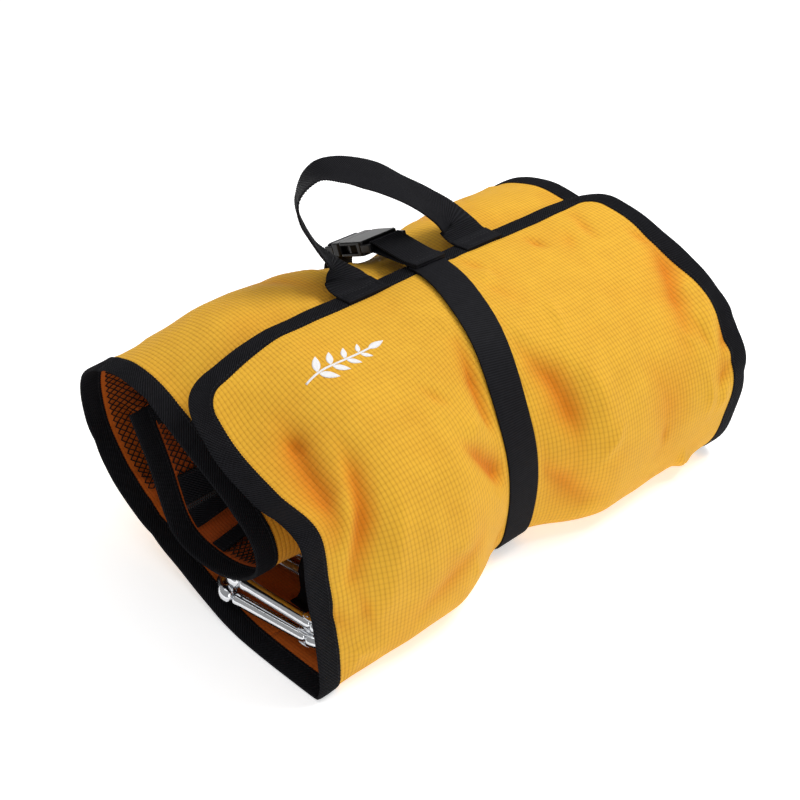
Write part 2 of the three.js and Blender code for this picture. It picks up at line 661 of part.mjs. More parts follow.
// ---------------------------------------------------------------- the loop that holds the carabiners
// A webbing arch over both spines, its two feet sewn to the lining.
function gearLoop() {
  const floor = clothThickness + 2 * gap;
  const width = 16;
  const foot = 9;
  const inner = 9.5;
  const crown = 35.2;
  const outline = (half, top) => {
    const bend = 6;
    return [[half, floor], [half, top - bend], [half - bend, top], [-half + bend, top], [-half, top - bend], [-half, floor]];
  };
  const web = 1.6;
  const points = [
    [inner + foot, floor], [inner + foot, floor + web], [inner + web, floor + web],
    ...outline(inner + web, crown + web).slice(1, -1),
    [-inner - web, floor + web], [-inner - foot, floor + web], [-inner - foot, floor],
    ...outline(inner, crown).reverse(),
  ];
  const shape = new THREE.Shape(points.map(([x, z]) => new THREE.Vector2(x, z)));
  return new THREE.ExtrudeGeometry(shape, { depth: width, bevelEnabled: false })
    .rotateX(Math.PI / 2)
    .translate(-138.5, -39 + width / 2, 0);
}

add('gear_loop', gearLoop(), 'webbing');

export default group;
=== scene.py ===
"""A roll-up gear bag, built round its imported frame: cloth, tape, webbing, net, zip, buckle, carabiners.

Shapes are worked out in millimetres, in the frame's axes (+X along the roll, front at -Y, +Z up), and
become metres when a mesh is made. A place on the cloth is x along the roll, row along the spiral (as in
the CAD source) and out, the distance from the cloth's middle towards the face that shows outside.
"""

import math

import bpy
import numpy as np
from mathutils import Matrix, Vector


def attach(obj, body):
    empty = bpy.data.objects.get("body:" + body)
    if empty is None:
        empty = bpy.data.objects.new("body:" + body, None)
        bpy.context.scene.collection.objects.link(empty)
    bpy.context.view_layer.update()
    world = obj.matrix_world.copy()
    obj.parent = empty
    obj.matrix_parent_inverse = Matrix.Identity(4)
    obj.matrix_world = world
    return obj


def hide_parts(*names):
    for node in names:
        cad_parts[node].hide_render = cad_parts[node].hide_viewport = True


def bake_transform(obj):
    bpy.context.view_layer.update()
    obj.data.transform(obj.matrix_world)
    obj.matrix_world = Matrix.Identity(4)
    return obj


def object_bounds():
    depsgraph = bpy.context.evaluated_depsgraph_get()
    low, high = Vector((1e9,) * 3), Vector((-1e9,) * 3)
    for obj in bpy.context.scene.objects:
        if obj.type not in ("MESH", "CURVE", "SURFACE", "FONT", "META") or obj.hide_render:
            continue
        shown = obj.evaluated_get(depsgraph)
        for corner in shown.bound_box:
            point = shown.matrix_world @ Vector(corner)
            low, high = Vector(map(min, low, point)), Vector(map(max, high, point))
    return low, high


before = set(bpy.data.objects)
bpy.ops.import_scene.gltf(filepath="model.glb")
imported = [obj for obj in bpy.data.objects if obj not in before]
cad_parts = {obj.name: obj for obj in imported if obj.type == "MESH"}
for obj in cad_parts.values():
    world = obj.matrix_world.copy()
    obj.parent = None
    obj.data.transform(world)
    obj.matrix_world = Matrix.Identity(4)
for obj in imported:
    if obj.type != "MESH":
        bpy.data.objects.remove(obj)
cad_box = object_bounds()

# ---------------- driving dimensions
MM = 0.001
HALF_LENGTH = cad_box[1].x / MM       # 200: the roll is twice as long over its taped edges
SHIFT_Y = -2.63                       # from the CAD source's section to the frame's Y
TAPE_WIDTH = 16.0                     # how far the edge tape reaches in
CLOTH_HALF = 0.45                     # half the cloth's thickness
LOWEST = 1.45                         # of the cloth's middle, so that the tape rests on the ground
STRAP_WIDTH = 28.0
HANDLE_WIDTH = 36.0
LOOP_WIDTH = 16.0                     # of the webbing that holds the carabiners
WEB_HALF = 0.8                        # half the webbing's thickness
RIB_PITCH = 1.7                       # of the ribs across the webbing
RIB_HEIGHT = 0.24
RIB_OVERHANG = 0.22                   # how far they reach past the webbing's edges
FLAP_CORNER = 30.0                    # radius of the flap's corners
CORNER_TURN = FLAP_CORNER * math.pi / 2
EDGE_HALF = HALF_LENGTH - FLAP_CORNER     # half of the flap's straight edge
TAB_X = 18.0                          # middle of the buckle's tab
HANDLE_X = 16.0                       # middle of the handle
HANDLE_SPREAD = 56.0                  # each foot's distance from it
STRAP_X_TOP = 17.0
STRAP_X_FRONT = -11.0
PINCH_WIDTH = 78.0                    # how far the strap's squeeze reaches
END_FLARE = 90.0                      # how far from each end the section changes
SHEET_SPLIT = 8.5                     # the row on the ground where the front sheet meets the body
STRAPPED_ROWS = 14.6                  # the strap holds the cloth flat up to this row
INNER_ROWS = 16.5                     # from here the cloth lies inside the roll, with weaker folds
END_ROW = 25.0

# The rolled section from the flap's edge to the inner end: y and z of the cloth's middle, then how
# far the strap's squeeze, the left end and the right end move them.
ROWS = np.array([
    (33, 170, 0, 1, -10, -8, -4, 2),          # 0 flap edge
    (13, 171, 0, 2, -7, -14, -2, 4),
    (-20, 165, 0, 4, 0, -30, 0, 5),
    (-66, 150, 10, 4, 6, -28, -4, -1),        # 3 shoulder
    (-104, 124, 20, -2, 6, -7, -6, -3),
    (-125, 88, 26, -2, 21, -3, -7, 2),
    (-128, 48, 27, -3, 18, -3, -5, 8),        # 6 front
    (-114, 7, 22, 6, 4, -5, -3, 3),           # 7 front bottom fold
    (-70, 1.2, 4, 5, 0, 0, 0, 0),
    (-24, 1.2, 0, 4.5, 0, 1, 0, 0),
    (26, 1.2, 0, 4.5, 0, 12, 0, 6),           # 10 rear of the base
    (78, 14, -4, 2, -2, 14, -2, 10),
    (113, 40, -10, 2, 0, 8, 0, 8),
    (132, 78, -14, 0, 5, 6, 3, 7),            # 13 back
    (131, 122, -16, -5, 4, 0, 6, 5),
    (109, 156, -15, -10, -7, -13, 3, -3),     # 15 back top
    (67, 170, -4, -9, -2, -24, -2, -3),
    (10, 155, 0, 0, -2, -32, 0, 2),           # 17 under the flap
    (-30, 134, 2, 2, 0, -29, 0, 0),
    (-62, 105, 6, 2, 10, -18, 0, 0),
    (-68, 78, 6, 2, 14, -10, 0, 0),           # 20 curl
    (-40, 52, 0, 0, 4, -2, 0, 0),
    (0, 42, 0, 0, 0, -5, 0, 0),
    (40, 48, 0, 0, -2, -6, 0, 0),             # 23 return
    (62, 88, 0, 0, -3, 0, 0, 0),
    (76, 136, 0, 0, 0, -16, 0, 0),            # 25 inner end
], float)

# Folds of the cloth: points (x, row, how far out the cloth is pushed there), and the fold's half width.
FOLDS = [
    ([(-156, 2.2, -2.0), (-162, 2.75, -6.5), (-168, 3.4, -7.0), (-174, 4.0, -2.5)], 10),
    ([(-144, 3.1, 1.5), (-160, 3.7, 4.0), (-172, 4.3, 3.0), (-178, 4.9, 1.5)], 7),
    ([(-138, 2.9, -1.5), (-146, 3.45, -6.5), (-156, 4.05, -7.5), (-170, 4.75, -3.0)], 9),
    ([(-122, 3.8, 1.0), (-138, 4.7, 3.5), (-150, 5.6, 2.0)], 11),
    ([(-20, 2.7, -2.0), (-28, 3.3, -6.5), (-32, 3.9, -5.0)], 8),
    ([(-60, 3.6, 1.0), (-50, 3.85, 3.5), (-40, 3.95, 2.5)], 9),
    ([(-70, 3.95, -1.0), (-54, 4.3, -6.0), (-38, 4.8, -7.0)], 8),
    ([(-62, 4.9, 1.0), (-46, 5.2, 4.0), (-36, 5.6, 2.0)], 9),
    ([(18, 3.2, -2.0), (28, 3.8, -6.5), (32, 4.5, -6.5), (34, 5.1, -2.0)], 10),
    ([(50, 3.6, 1.0), (56, 4.3, 3.5), (54, 5.1, 2.0)], 11),
    ([(4, 5.1, -2.5), (22, 5.7, -5.0), (40, 6.4, -2.5)], 9),
    ([(184, 2.6, -2.5), (174, 3.1, -6.5), (162, 3.6, -6.5), (150, 4.4, -2.0)], 11),
    ([(186, 3.5, 1.0), (176, 4.1, 3.5), (168, 4.8, 2.0)], 9),
    ([(188, 4.2, -2.0), (182, 4.7, -5.0), (168, 5.3, -1.5)], 8),
    ([(110, 4.4, -1.0), (118, 5.3, -3.0), (112, 6.2, -1.5)], 15),
    ([(-70, 5.6, -1.0), (-100, 6.1, -3.5), (-128, 6.4, -1.5)], 11),
    ([(-60, 15.0, -1.0), (-66, 15.7, -3.0), (-60, 16.3, -1.0)], 13),
    ([(84, 14.8, -1.0), (92, 15.6, -3.0), (86, 16.4, -0.5)], 13),
    ([(-30, 12.2, -1.0), (-42, 13.2, -4.0), (-40, 14.2, -2.0)], 12),
    ([(70, 11.8, -1.0), (74, 13.0, -4.0), (66, 14.0, -2.0)], 13),
    ([(-150, 12.0, -0.5), (-160, 13.0, -3.0), (-168, 14.0, -1.0)], 14),
    ([(140, 12.4, -0.5), (152, 13.2, -3.5), (160, 14.2, -1.0)], 13),
]
# Small creases between them, scattered about the strap and the ends; the pairs are least and most.
CREASE_COUNT = 150
CREASE_MIDDLES = [-175, -28, 30, 172, 172]
CREASE_SPREAD = 26
CREASE_SHARE = 0.62                   # the share of the cloth's length that has them
CREASE_LEAN = 0.55
CREASE_REACH = (10, 28)
CREASE_HEIGHT = (1.2, 3.6)
CREASE_WIDTH = (3.5, 6.0)
CREASE_SEED = 11
# How the taped ends bulge along X: the end, how far, at which row and over how many.
END_BULGES = [(1, 6, 3.4, 1.4), (-1, 4, 8.6, 1.6)]
BULGE_FROM = 110.0                    # how far from the middle they start


# ---------------- the cloth as a surface
def smooth(t):
    """A soft step from 0 to 1 as t goes from 0 to 1."""
    c = np.clip(t, 0, 1)
    return c * c * (3 - 2 * c)


def unit(v):
    return v / np.linalg.norm(v, axis=-1, keepdims=True)


def strap_x(row):
    """The middle of the strap: at a slant over the flap, straight down the front, back to the buckle."""
    down = smooth((row - 0.5) / 4)
    back = smooth((row - 9) / 5)
    return STRAP_X_TOP + (STRAP_X_FRONT - STRAP_X_TOP) * down + (TAB_X - STRAP_X_FRONT) * back


def near_end(x):
    """A soft step from 0 to 1 over the last stretch before the end at +X."""
    return smooth((x - HALF_LENGTH + END_FLARE) / END_FLARE)


def section_points(x):
    """The section's points at each x, as an array of (x, row, yz)."""
    reach = np.clip((x[:, None] - strap_x(np.arange(len(ROWS)))) / PINCH_WIDTH, -1, 1)
    ends = np.stack([near_end(-x), near_end(x)], axis=1)[:, None, :] * np.ones((1, len(ROWS), 1))
    shares = np.concatenate([((1 - reach ** 2) ** 2)[:, :, None], ends], axis=2)
    moves = ROWS[:, 2:].reshape(-1, 3, 2)
    points = ROWS[:, :2] + np.einsum("nrk,rkc->nrc", shares, moves)
    points[:, :, 0] += SHIFT_Y
    return points


def spline(points, t):
    """Centripetal Catmull-Rom curves through points[..., k, :], at t from 0 to the last k."""
    last = points.shape[-2] - 1
    i = np.clip(np.floor(t).astype(int), 0, last - 1)
    w = (t - i)[:, None]
    p1, p2 = points[..., i, :], points[..., i + 1, :]
    p0 = np.where((i > 0)[:, None], points[..., np.maximum(i - 1, 0), :], 2 * p1 - p2)
    p3 = np.where((i + 2 <= last)[:, None], points[..., np.minimum(i + 2, last), :], 2 * p2 - p1)
    d0, d1, d2 = (
        np.maximum(np.sqrt(np.linalg.norm(b - a, axis=-1, keepdims=True)), 1e-6)
        for a, b in ((p0, p1), (p1, p2), (p2, p3))
    )
    t1 = ((p1 - p0) / d0 - (p2 - p0) / (d0 + d1) + (p2 - p1) / d1) * d1
    t2 = ((p2 - p1) / d1 - (p3 - p1) / (d1 + d2) + (p3 - p2) / d2) * d1
    return p1 + t1 * w + (3 * (p2 - p1) - 2 * t1 - t2) * w ** 2 + (2 * (p1 - p2) + t1 + t2) * w ** 3


GRID_X = np.linspace(-HALF_LENGTH, HALF_LENGTH, 201)
GRID_ROW = np.linspace(0, END_ROW, 501)


def normals_of(grid):
    """Unit normals of a grid of points, on the side that shows outside on the closed bag."""
    return unit(np.cross(np.gradient(grid, axis=1), np.gradient(grid, axis=0)))


def length_along(grid):
    """How far along the cloth each row lies from the flap's edge, at each x."""
    steps = np.linalg.norm(np.diff(grid, axis=1), axis=2)
    return np.concatenate([np.zeros((len(grid), 1)), np.cumsum(steps, axis=1)], axis=1)


def ridge(away, width):
    """The share of a fold's height that is left at a distance from its middle line."""
    return np.exp(-(away / width) ** 1.5)


def distance_to(path, x, along):
    """How far each place on the cloth is from a path of (x, along, height), and the nearest height."""
    nearest = np.full(x.shape, 1e9)
    height = np.zeros(x.shape)
    for (xa, sa, ha), (xb, sb, hb) in zip(path[:-1], path[1:]):
        length2 = (xb - xa) ** 2 + (sb - sa) ** 2
        t = np.clip(((x - xa) * (xb - xa) + (along - sa) * (sb - sa)) / length2, 0, 1)
        away = np.hypot(x - xa - t * (xb - xa), along - sa - t * (sb - sa))
        height = np.where(away < nearest, ha + t * (hb - ha), height)
        nearest = np.minimum(nearest, away)
    return nearest, height


def small_creases(x, along):
    """Short creases that run mostly down the cloth, scattered by a fixed seed."""
    chance = np.random.default_rng(CREASE_SEED)
    total = np.zeros(x.shape)
    for _ in range(CREASE_COUNT):
        near = chance.choice(CREASE_MIDDLES)
        at_x = np.clip(near + chance.normal(0, CREASE_SPREAD), -HALF_LENGTH, HALF_LENGTH)
        at_along = chance.uniform(20, along.max() * CREASE_SHARE)
        lean = chance.normal(0, CREASE_LEAN)
        reach = chance.uniform(*CREASE_REACH)
        x_reach, along_reach = math.sin(lean) * reach, math.cos(lean) * reach
        path = [
            (at_x - x_reach, at_along - along_reach, 0.0),
            (at_x, at_along, chance.choice([-1, 1]) * chance.uniform(*CREASE_HEIGHT)),
            (at_x + x_reach, at_along + along_reach, 0.0),
        ]
        away, height = distance_to(path, x, along)
        total += height * ridge(away, chance.uniform(*CREASE_WIDTH))
    return total


def relief(x, row, along):
    """How far the folds push the cloth out. It lies flat under the strap."""
    mean_along = along.mean(axis=0)
    total = np.zeros(x.shape)
    for points, width in FOLDS:
        path = [(px, np.interp(pr, GRID_ROW, mean_along), h) for px, pr, h in points]
        away, height = distance_to(path, x, along)
        total += height * ridge(away, width)
    total += small_creases(x, along)
    total += 0.5 * np.sin(x / 17 + along / 29) * np.sin(along / 23 - x / 41)
    total += 0.25 * np.sin(x / 7.3 - along / 13) * np.sin(along / 9.1 + x / 19)
    from_strap = np.abs(x - strap_x(row))
    strapped = np.where(row < STRAPPED_ROWS, smooth((from_strap - STRAP_WIDTH / 2) / 9), 1)
    inner = 1 - 0.8 * smooth((row - INNER_ROWS) / 0.8)
    return total * strapped * inner


def rolled_grid():
    """The cloth's middle as a grid of points (x, row), and how far its folds push it out."""
    points = section_points(GRID_X)
    yz = spline(points, GRID_ROW)
    x = np.repeat(GRID_X[:, None], len(GRID_ROW), axis=1)
    bulge = sum(
        end * reach * np.exp(-((GRID_ROW - row) / rows) ** 2) * smooth((end * x - BULGE_FROM) / END_FLARE)
        for end, reach, row, rows in END_BULGES
    )
    grid = np.concatenate([(x + bulge)[:, :, None], yz], axis=2)
    along = length_along(grid)
    row = np.repeat(GRID_ROW[None, :], len(GRID_X), axis=0)
    pushed = relief(x, row, along)[:, :, None]
    grid = grid + pushed * normals_of(grid)
    grid[:, :, 2] = np.maximum(grid[:, :, 2], LOWEST)
    return grid, pushed


GRID, PUSHED = rolled_grid()
NORMALS = normals_of(GRID)
ALONG = length_along(GRID)
MEAN_ALONG = ALONG.mean(axis=0)


def on_grid(values, x, row):
    """Values of a grid at places between its points."""
    i = (np.asarray(x, float) + HALF_LENGTH) / (GRID_X[1] - GRID_X[0])
    j = np.asarray(row, float) / (GRID_ROW[1] - GRID_ROW[0])
    i0 = np.clip(np.floor(i).astype(int), 0, len(GRID_X) - 2)
    j0 = np.clip(np.floor(j).astype(int), 0, len(GRID_ROW) - 2)
    a, b = (i - i0)[..., None], (j - j0)[..., None]
    low = values[i0, j0] * (1 - a) + values[i0 + 1, j0] * a
    high = values[i0, j0 + 1] * (1 - a) + values[i0 + 1, j0 + 1] * a
    return low * (1 - b) + high * b


def cloth(x, row, out=0.0):
    """Points at x, row and out on the finished cloth."""
    x, row, out = np.broadcast_arrays(x, row, out)
    return on_grid(GRID, x, row) + out[..., None] * unit(on_grid(NORMALS, x, row))


def row_at(x, distance):
    """The row at a distance from the flap's edge, at each x."""
    x, distance = np.broadcast_arrays(x, distance)
    nearest = np.rint((x + HALF_LENGTH) / (GRID_X[1] - GRID_X[0])).astype(int)
    column = np.clip(nearest, 0, len(GRID_X) - 1)
    flat = [np.interp(d, ALONG[c], GRID_ROW) for c, d in zip(column.ravel(), distance.ravel())]
    return np.array(flat).reshape(x.shape)


def row_of(along):
    """The row at a mean distance along the cloth."""
    return np.interp(along, MEAN_ALONG, GRID_ROW)


def along_of(row):
    """The mean distance along the cloth at a row."""
    return np.interp(row, GRID_ROW, MEAN_ALONG)


# ---------------- meshes
def mesh_object(name, points, faces, materials, uv=None, face_material=None, painted_shade=None):
    """A smooth-shaded object from points in millimetres and a list of faces."""
    mesh = bpy.data.meshes.new(name)
    mesh.from_pydata((np.asarray(points).reshape(-1, 3) * MM).tolist(), [], faces)
    mesh.polygons.foreach_set("use_smooth", [True] * len(mesh.polygons))
    if uv is not None:
        layer = mesh.uv_layers.new(name="cloth_mm")
        corner = np.zeros(len(mesh.loops), int)
        mesh.loops.foreach_get("vertex_index", corner)
        layer.data.foreach_set("uv", np.asarray(uv).reshape(-1, 2)[corner].astype(np.float32).ravel())
    # painted_shade: per point, how far the fabric turns to its painted shade colour
    if painted_shade is not None:
        attribute = mesh.attributes.new("painted_shade", "FLOAT", "POINT")
        attribute.data.foreach_set("value", painted_shade.astype(np.float32))
    for material in materials:
        mesh.materials.append(material)
    if face_material is not None:
        mesh.polygons.foreach_set("material_index", np.asarray(face_material, np.int32))
    made = bpy.data.objects.new(name, mesh)
    bpy.context.scene.collection.objects.link(made)
    return made


def grid_faces(rows, columns, start=0, flip=False):
    """The quads of a grid whose point (i, j) is at start + i * columns + j."""
    i, j = np.meshgrid(np.arange(rows - 1), np.arange(columns - 1), indexing="ij")
    a = start + (i * columns + j).ravel()
    quads = np.stack([a, a + 1, a + columns + 1, a + columns], axis=1)
    return (quads[:, ::-1] if flip else quads).tolist()


def loft_faces(rings, sides):
    """The quads round a tube of rings, and its two end caps."""
    i, j = np.meshgrid(np.arange(rings - 1), np.arange(sides), indexing="ij")
    a = (i * sides + j).ravel()
    b = (i * sides + (j + 1) % sides).ravel()
    faces = np.stack([a, b, b + sides, a + sides], axis=1).tolist()
    faces.append(list(range(sides))[::-1])
    faces.append(list(range((rings - 1) * sides, rings * sides)))
    return faces


def slab_points(top, bottom):
    """A closed sheet between two grids of points: its points and faces, those of top first."""
    rows, columns = top.shape[:2]
    count = rows * columns
    faces = grid_faces(rows, columns) + grid_faces(rows, columns, count, flip=True)
    edge = list(range(columns))
    edge += [i * columns + columns - 1 for i in range(1, rows)]
    edge += [(rows - 1) * columns + j for j in range(columns - 2, -1, -1)]
    edge += [i * columns for i in range(rows - 2, 0, -1)]
    for a, b in zip(edge, edge[1:] + edge[:1]):
        faces.append([b, a, a + count, b + count])
    return np.concatenate([top.reshape(-1, 3), bottom.reshape(-1, 3)]), faces


def direction(line):
    """The unit direction at each point of a line."""
    return unit(np.gradient(line, axis=0))


def square_to(tangent, way):
    """What is left of a way, as a unit vector, once its share along the tangent is taken off."""
    return unit(way - tangent * (way * tangent).sum(axis=-1, keepdims=True))


def spline_line(points, count):
    """A smooth line of count points through the given ones."""
    return spline(np.array(points, float), np.linspace(0, len(points) - 1, count))


def run_length(points):
    """How far along a line each of its points lies."""
    steps = np.linalg.norm(np.diff(points, axis=0), axis=1)
    return np.concatenate([[0], np.cumsum(steps)])


def resampled(points, step, *others):
    """A polyline and values along it, again at about equal steps."""
    run = run_length(points)
    at = np.linspace(0, run[-1], max(int(round(run[-1] / step)) + 1, 2))
    again = [
        np.stack([np.interp(at, run, values[:, k]) for k in range(values.shape[1])], axis=1)
        for values in (points, *others)
    ]
    return again if others else again[0]


def tube(points, radius, sides):
    """The points and faces of a round tube along points; its radius may change along it."""
    tangent = direction(points)
    across = np.zeros_like(points)
    across[0] = Vector(tangent[0]).orthogonal().normalized()
    for k in range(1, len(points)):
        across[k] = square_to(tangent[k], across[k - 1])
    other = np.cross(tangent, across)
    turn = np.linspace(0, 2 * math.pi, sides, endpoint=False)
    radius = np.broadcast_to(radius, len(points))[:, None, None]
    ring = np.cos(turn)[:, None] * across[:, None] + np.sin(turn)[:, None] * other[:, None]
    return points[:, None] + radius * ring, loft_faces(len(points), sides)


def merged(parts):
    """One list of points and faces from several (points, faces)."""
    points, faces, start = [], [], 0
    for p, f in parts:
        p = np.asarray(p).reshape(-1, 3)
        points.append(p)
        faces += [[start + v for v in face] for face in f]
        start += len(p)
    return np.concatenate(points), faces


def band(name, centre, across, normal, width, half=WEB_HALF):
    """A piece of webbing: its middle line, and the ways across it and out of it. Ribs stand up on it."""
    across = np.broadcast_to(np.asarray(across, float), centre.shape)
    centre, across, normal = resampled(centre, RIB_PITCH / 5, across, normal)
    across, normal = unit(across), unit(normal)
    run = run_length(centre)
    rib = np.cos(2 * math.pi * run / RIB_PITCH)
    side = width / 2
    upper = [(-0.985, 0.7, 0.3), (-0.94, 1, 1), (-0.5, 1, 1), (0, 1, 1), (0.5, 1, 1), (0.94, 1, 1),
             (0.985, 0.7, 0.3)]
    lower = [(w, -n, ribbed) for w, n, ribbed in reversed(upper)]
    profile = [(-1, 0, 0), *upper, (1, 0, 0), *lower]
    rings, uv = [], []
    for w, n, ribbed in profile:
        beside = w * (side + RIB_OVERHANG * (abs(w) == 1) * rib)
        out = n * half + RIB_HEIGHT * np.sign(n) * ribbed * rib
        rings.append(centre + across * beside[:, None] + normal * out[:, None])
        uv.append(np.stack([run, np.full(len(run), w * side)], axis=1))
    faces = loft_faces(len(centre), len(profile))
    return mesh_object(name, np.stack(rings, axis=1), faces, [LOOK["webbing"]], np.stack(uv, axis=1))


# ---------------- nodes for the materials
def socket_or_value(tree, socket, value):
    """Links a socket to another, or gives it a value."""
    if isinstance(value, bpy.types.NodeSocket):
        tree.links.new(value, socket)
    else:
        socket.default_value = value


def calc(tree, operation, *values):
    """A maths node's result."""
    node = tree.nodes.new("ShaderNodeMath")
    node.operation = operation
    for socket, value in zip(node.inputs, values):
        socket_or_value(tree, socket, value)
    return node.outputs[0]


def weighted(tree, *pairs):
    """The sum of values, each times its weight."""
    total = calc(tree, "MULTIPLY", *pairs[0])
    for value, weight in pairs[1:]:
        total = calc(tree, "ADD", total, calc(tree, "MULTIPLY", value, weight))
    return total


def wave(tree, distance, pitch, sharp):
    """0 to 1 and back once every pitch; sharp above 1 narrows the valleys."""
    turned = calc(tree, "MULTIPLY", distance, math.pi / pitch)
    height = calc(tree, "ABSOLUTE", calc(tree, "COSINE", turned))
    return calc(tree, "POWER", height, 1 / sharp)


def mix_color(tree, share, a, b):
    """The colour between a and b, each a colour or a socket."""
    node = tree.nodes.new("ShaderNodeMix")
    node.data_type = "RGBA"
    socket_or_value(tree, node.inputs["Factor"], share)
    for socket, value in ((node.inputs[6], a), (node.inputs[7], b)):
        socket_or_value(tree, socket, (*value, 1) if isinstance(value, tuple) else value)
    return node.outputs[2]


def noise(tree, scale, detail=3.0):
    """Noise that stays on the object; scale is in features a metre."""
    place = tree.nodes.new("ShaderNodeTexCoord")
    node = tree.nodes.new("ShaderNodeTexNoise")
    node.inputs["Scale"].default_value = scale
    node.inputs["Detail"].default_value = detail
    node.inputs["Roughness"].default_value = 0.55
    tree.links.new(place.outputs["Object"], node.inputs["Vector"])
    return node.outputs["Fac"]


def cloth_mm(tree):
    """The place on the cloth in millimetres, from the mesh's own layer."""
    place = tree.nodes.new("ShaderNodeUVMap")
    place.uv_map = "cloth_mm"
    parts = tree.nodes.new("ShaderNodeSeparateXYZ")
    tree.links.new(place.outputs[0], parts.inputs[0])
    return parts.outputs[0], parts.outputs[1]


def finished(tree, shader, color, height, relief_mm):
    """Gives a shader its colour, and a bump of a height in millimetres."""
    tree.links.new(color, shader.inputs["Base Color"])
    node = tree.nodes.new("ShaderNodeBump")
    node.inputs["Strength"].default_value = 1.0
    node.inputs["Distance"].default_value = relief_mm * MM
    tree.links.new(height, node.inputs["Height"])
    tree.links.new(node.outputs[0], shader.inputs["Normal"])


def new_material(name, roughness, metallic=0.0, sheen=0.0, specular=0.5):
    """A material with its node tree and its shader."""
    material = bpy.data.materials.new(name)
    material.use_nodes = True
    tree = material.node_tree
    shader = tree.nodes["Principled BSDF"]
    shader.inputs["Roughness"].default_value = roughness
    shader.inputs["Metallic"].default_value = metallic
    shader.inputs["Specular IOR Level"].default_value = specular
    shader.inputs["Sheen Weight"].default_value = sheen
    shader.inputs["Sheen Roughness"].default_value = 0.5
    return material, tree, shader


def fabric(name, light, dark, painted_shade_color, rib_pitch, cell_pitch):
    """Dobby cloth: ribs down the cloth, cut into cells by finer lines, over a fine twill.

    Painted shade: in the folds and inside the roll, the cloth's own light and dark colours turn to the deep
    one, which stands in for shade and light bounced in its hollows.
    """
    material, tree, shader = new_material(name, 0.75, sheen=0.02, specular=0.25)
    x, along = cloth_mm(tree)
    ribs = wave(tree, x, rib_pitch, 2.2)
    cells = wave(tree, along, cell_pitch, 3.0)
    twill = wave(tree, calc(tree, "ADD", x, along), 0.95, 1.3)
    height = weighted(tree, (ribs, 0.6), (cells, 0.35), (twill, 0.3))
    shade = weighted(tree, (height, 0.65), (noise(tree, 55), 0.25))
    # painted shade: the attribute's share mixes both weave colours towards the deep shade colour
    painted_shade = tree.nodes.new("ShaderNodeAttribute")
    painted_shade.attribute_name = "painted_shade"
    painted_shade_share = painted_shade.outputs["Fac"]
    painted_shade_dark = tuple(0.5 * channel for channel in painted_shade_color)
    low = mix_color(tree, painted_shade_share, dark, painted_shade_dark)
    high = mix_color(tree, painted_shade_share, light, painted_shade_color)
    finished(tree, shader, mix_color(tree, shade, low, high), height, 0.5)
    return material


def twill_tape(name):
    """Black twill: diagonal lines, over finer ones that slant the other way."""
    material, tree, shader = new_material(name, 0.75, specular=0.05)
    run, across = cloth_mm(tree)
    lines = wave(tree, weighted(tree, (run, 1.0), (across, 1.3)), 2.4, 0.6)
    grain = wave(tree, weighted(tree, (run, 1.0), (across, -0.8)), 0.7, 1.0)
    height = weighted(tree, (lines, 1.0), (grain, 0.35))
    shade = weighted(tree, (height, 0.5), (noise(tree, 180), 0.3))
    color = mix_color(tree, shade, (0.0004, 0.0004, 0.0006), (0.022, 0.022, 0.026))
    finished(tree, shader, color, height, 0.7)
    return material


def webbing(name):
    """Black polyester webbing: the ribs are in the mesh; the yarns across them are here, and a painted
    highlight that makes each rib's crest lighter.
    """
    material, tree, shader = new_material(name, 0.60, specular=0.06)
    run, across = cloth_mm(tree)
    yarns = wave(tree, across, 1.1, 1.2)
    rib_highlight_and_bump = wave(tree, run, RIB_PITCH, 0.5)
    height = weighted(tree, (yarns, 0.3), (rib_highlight_and_bump, 0.7))
    # painted highlight: the colour is lightest on each rib's crest, where light would catch
    shade = weighted(tree, (height, 0.6), (noise(tree, 220), 0.3))
    color = mix_color(tree, shade, (0.0002, 0.0002, 0.0003), (0.021, 0.021, 0.025))
    finished(tree, shader, color, height, 0.45)
    return material


def plain_grain(name, dark, light, roughness, scale, bump, **finish):
    """A plain material with a little colour change and grain."""
    material, tree, shader = new_material(name, roughness, **finish)
    grain = noise(tree, scale, 4)
    finished(tree, shader, mix_color(tree, grain, dark, light), grain, bump)
    return material


def polished_steel(name):
    """Polished alloy: a fine grain and a little unevenness in its gloss."""
    material, tree, shader = new_material(name, 0.12, metallic=1.0)
    smear = noise(tree, 90)
    color = mix_color(tree, smear, (0.62, 0.64, 0.67), (0.86, 0.87, 0.89))
    rough = calc(tree, "ADD", 0.07, calc(tree, "MULTIPLY", smear, 0.14))
    tree.links.new(rough, shader.inputs["Roughness"])
    finished(tree, shader, color, noise(tree, 900, 2), 0.012)
    return material


def ink(name):
    """White thread print: pale, with the hatch of satin stitches."""
    material, tree, shader = new_material(name, 0.7, sheen=0.1, specular=0.3)
    x, along = cloth_mm(tree)
    hatch = wave(tree, weighted(tree, (x, 1.0), (along, -0.7)), 1.0, 1.5)
    color = mix_color(tree, hatch, (0.62, 0.60, 0.60), (0.93, 0.92, 0.91))
    finished(tree, shader, color, hatch, 0.15)
    return material


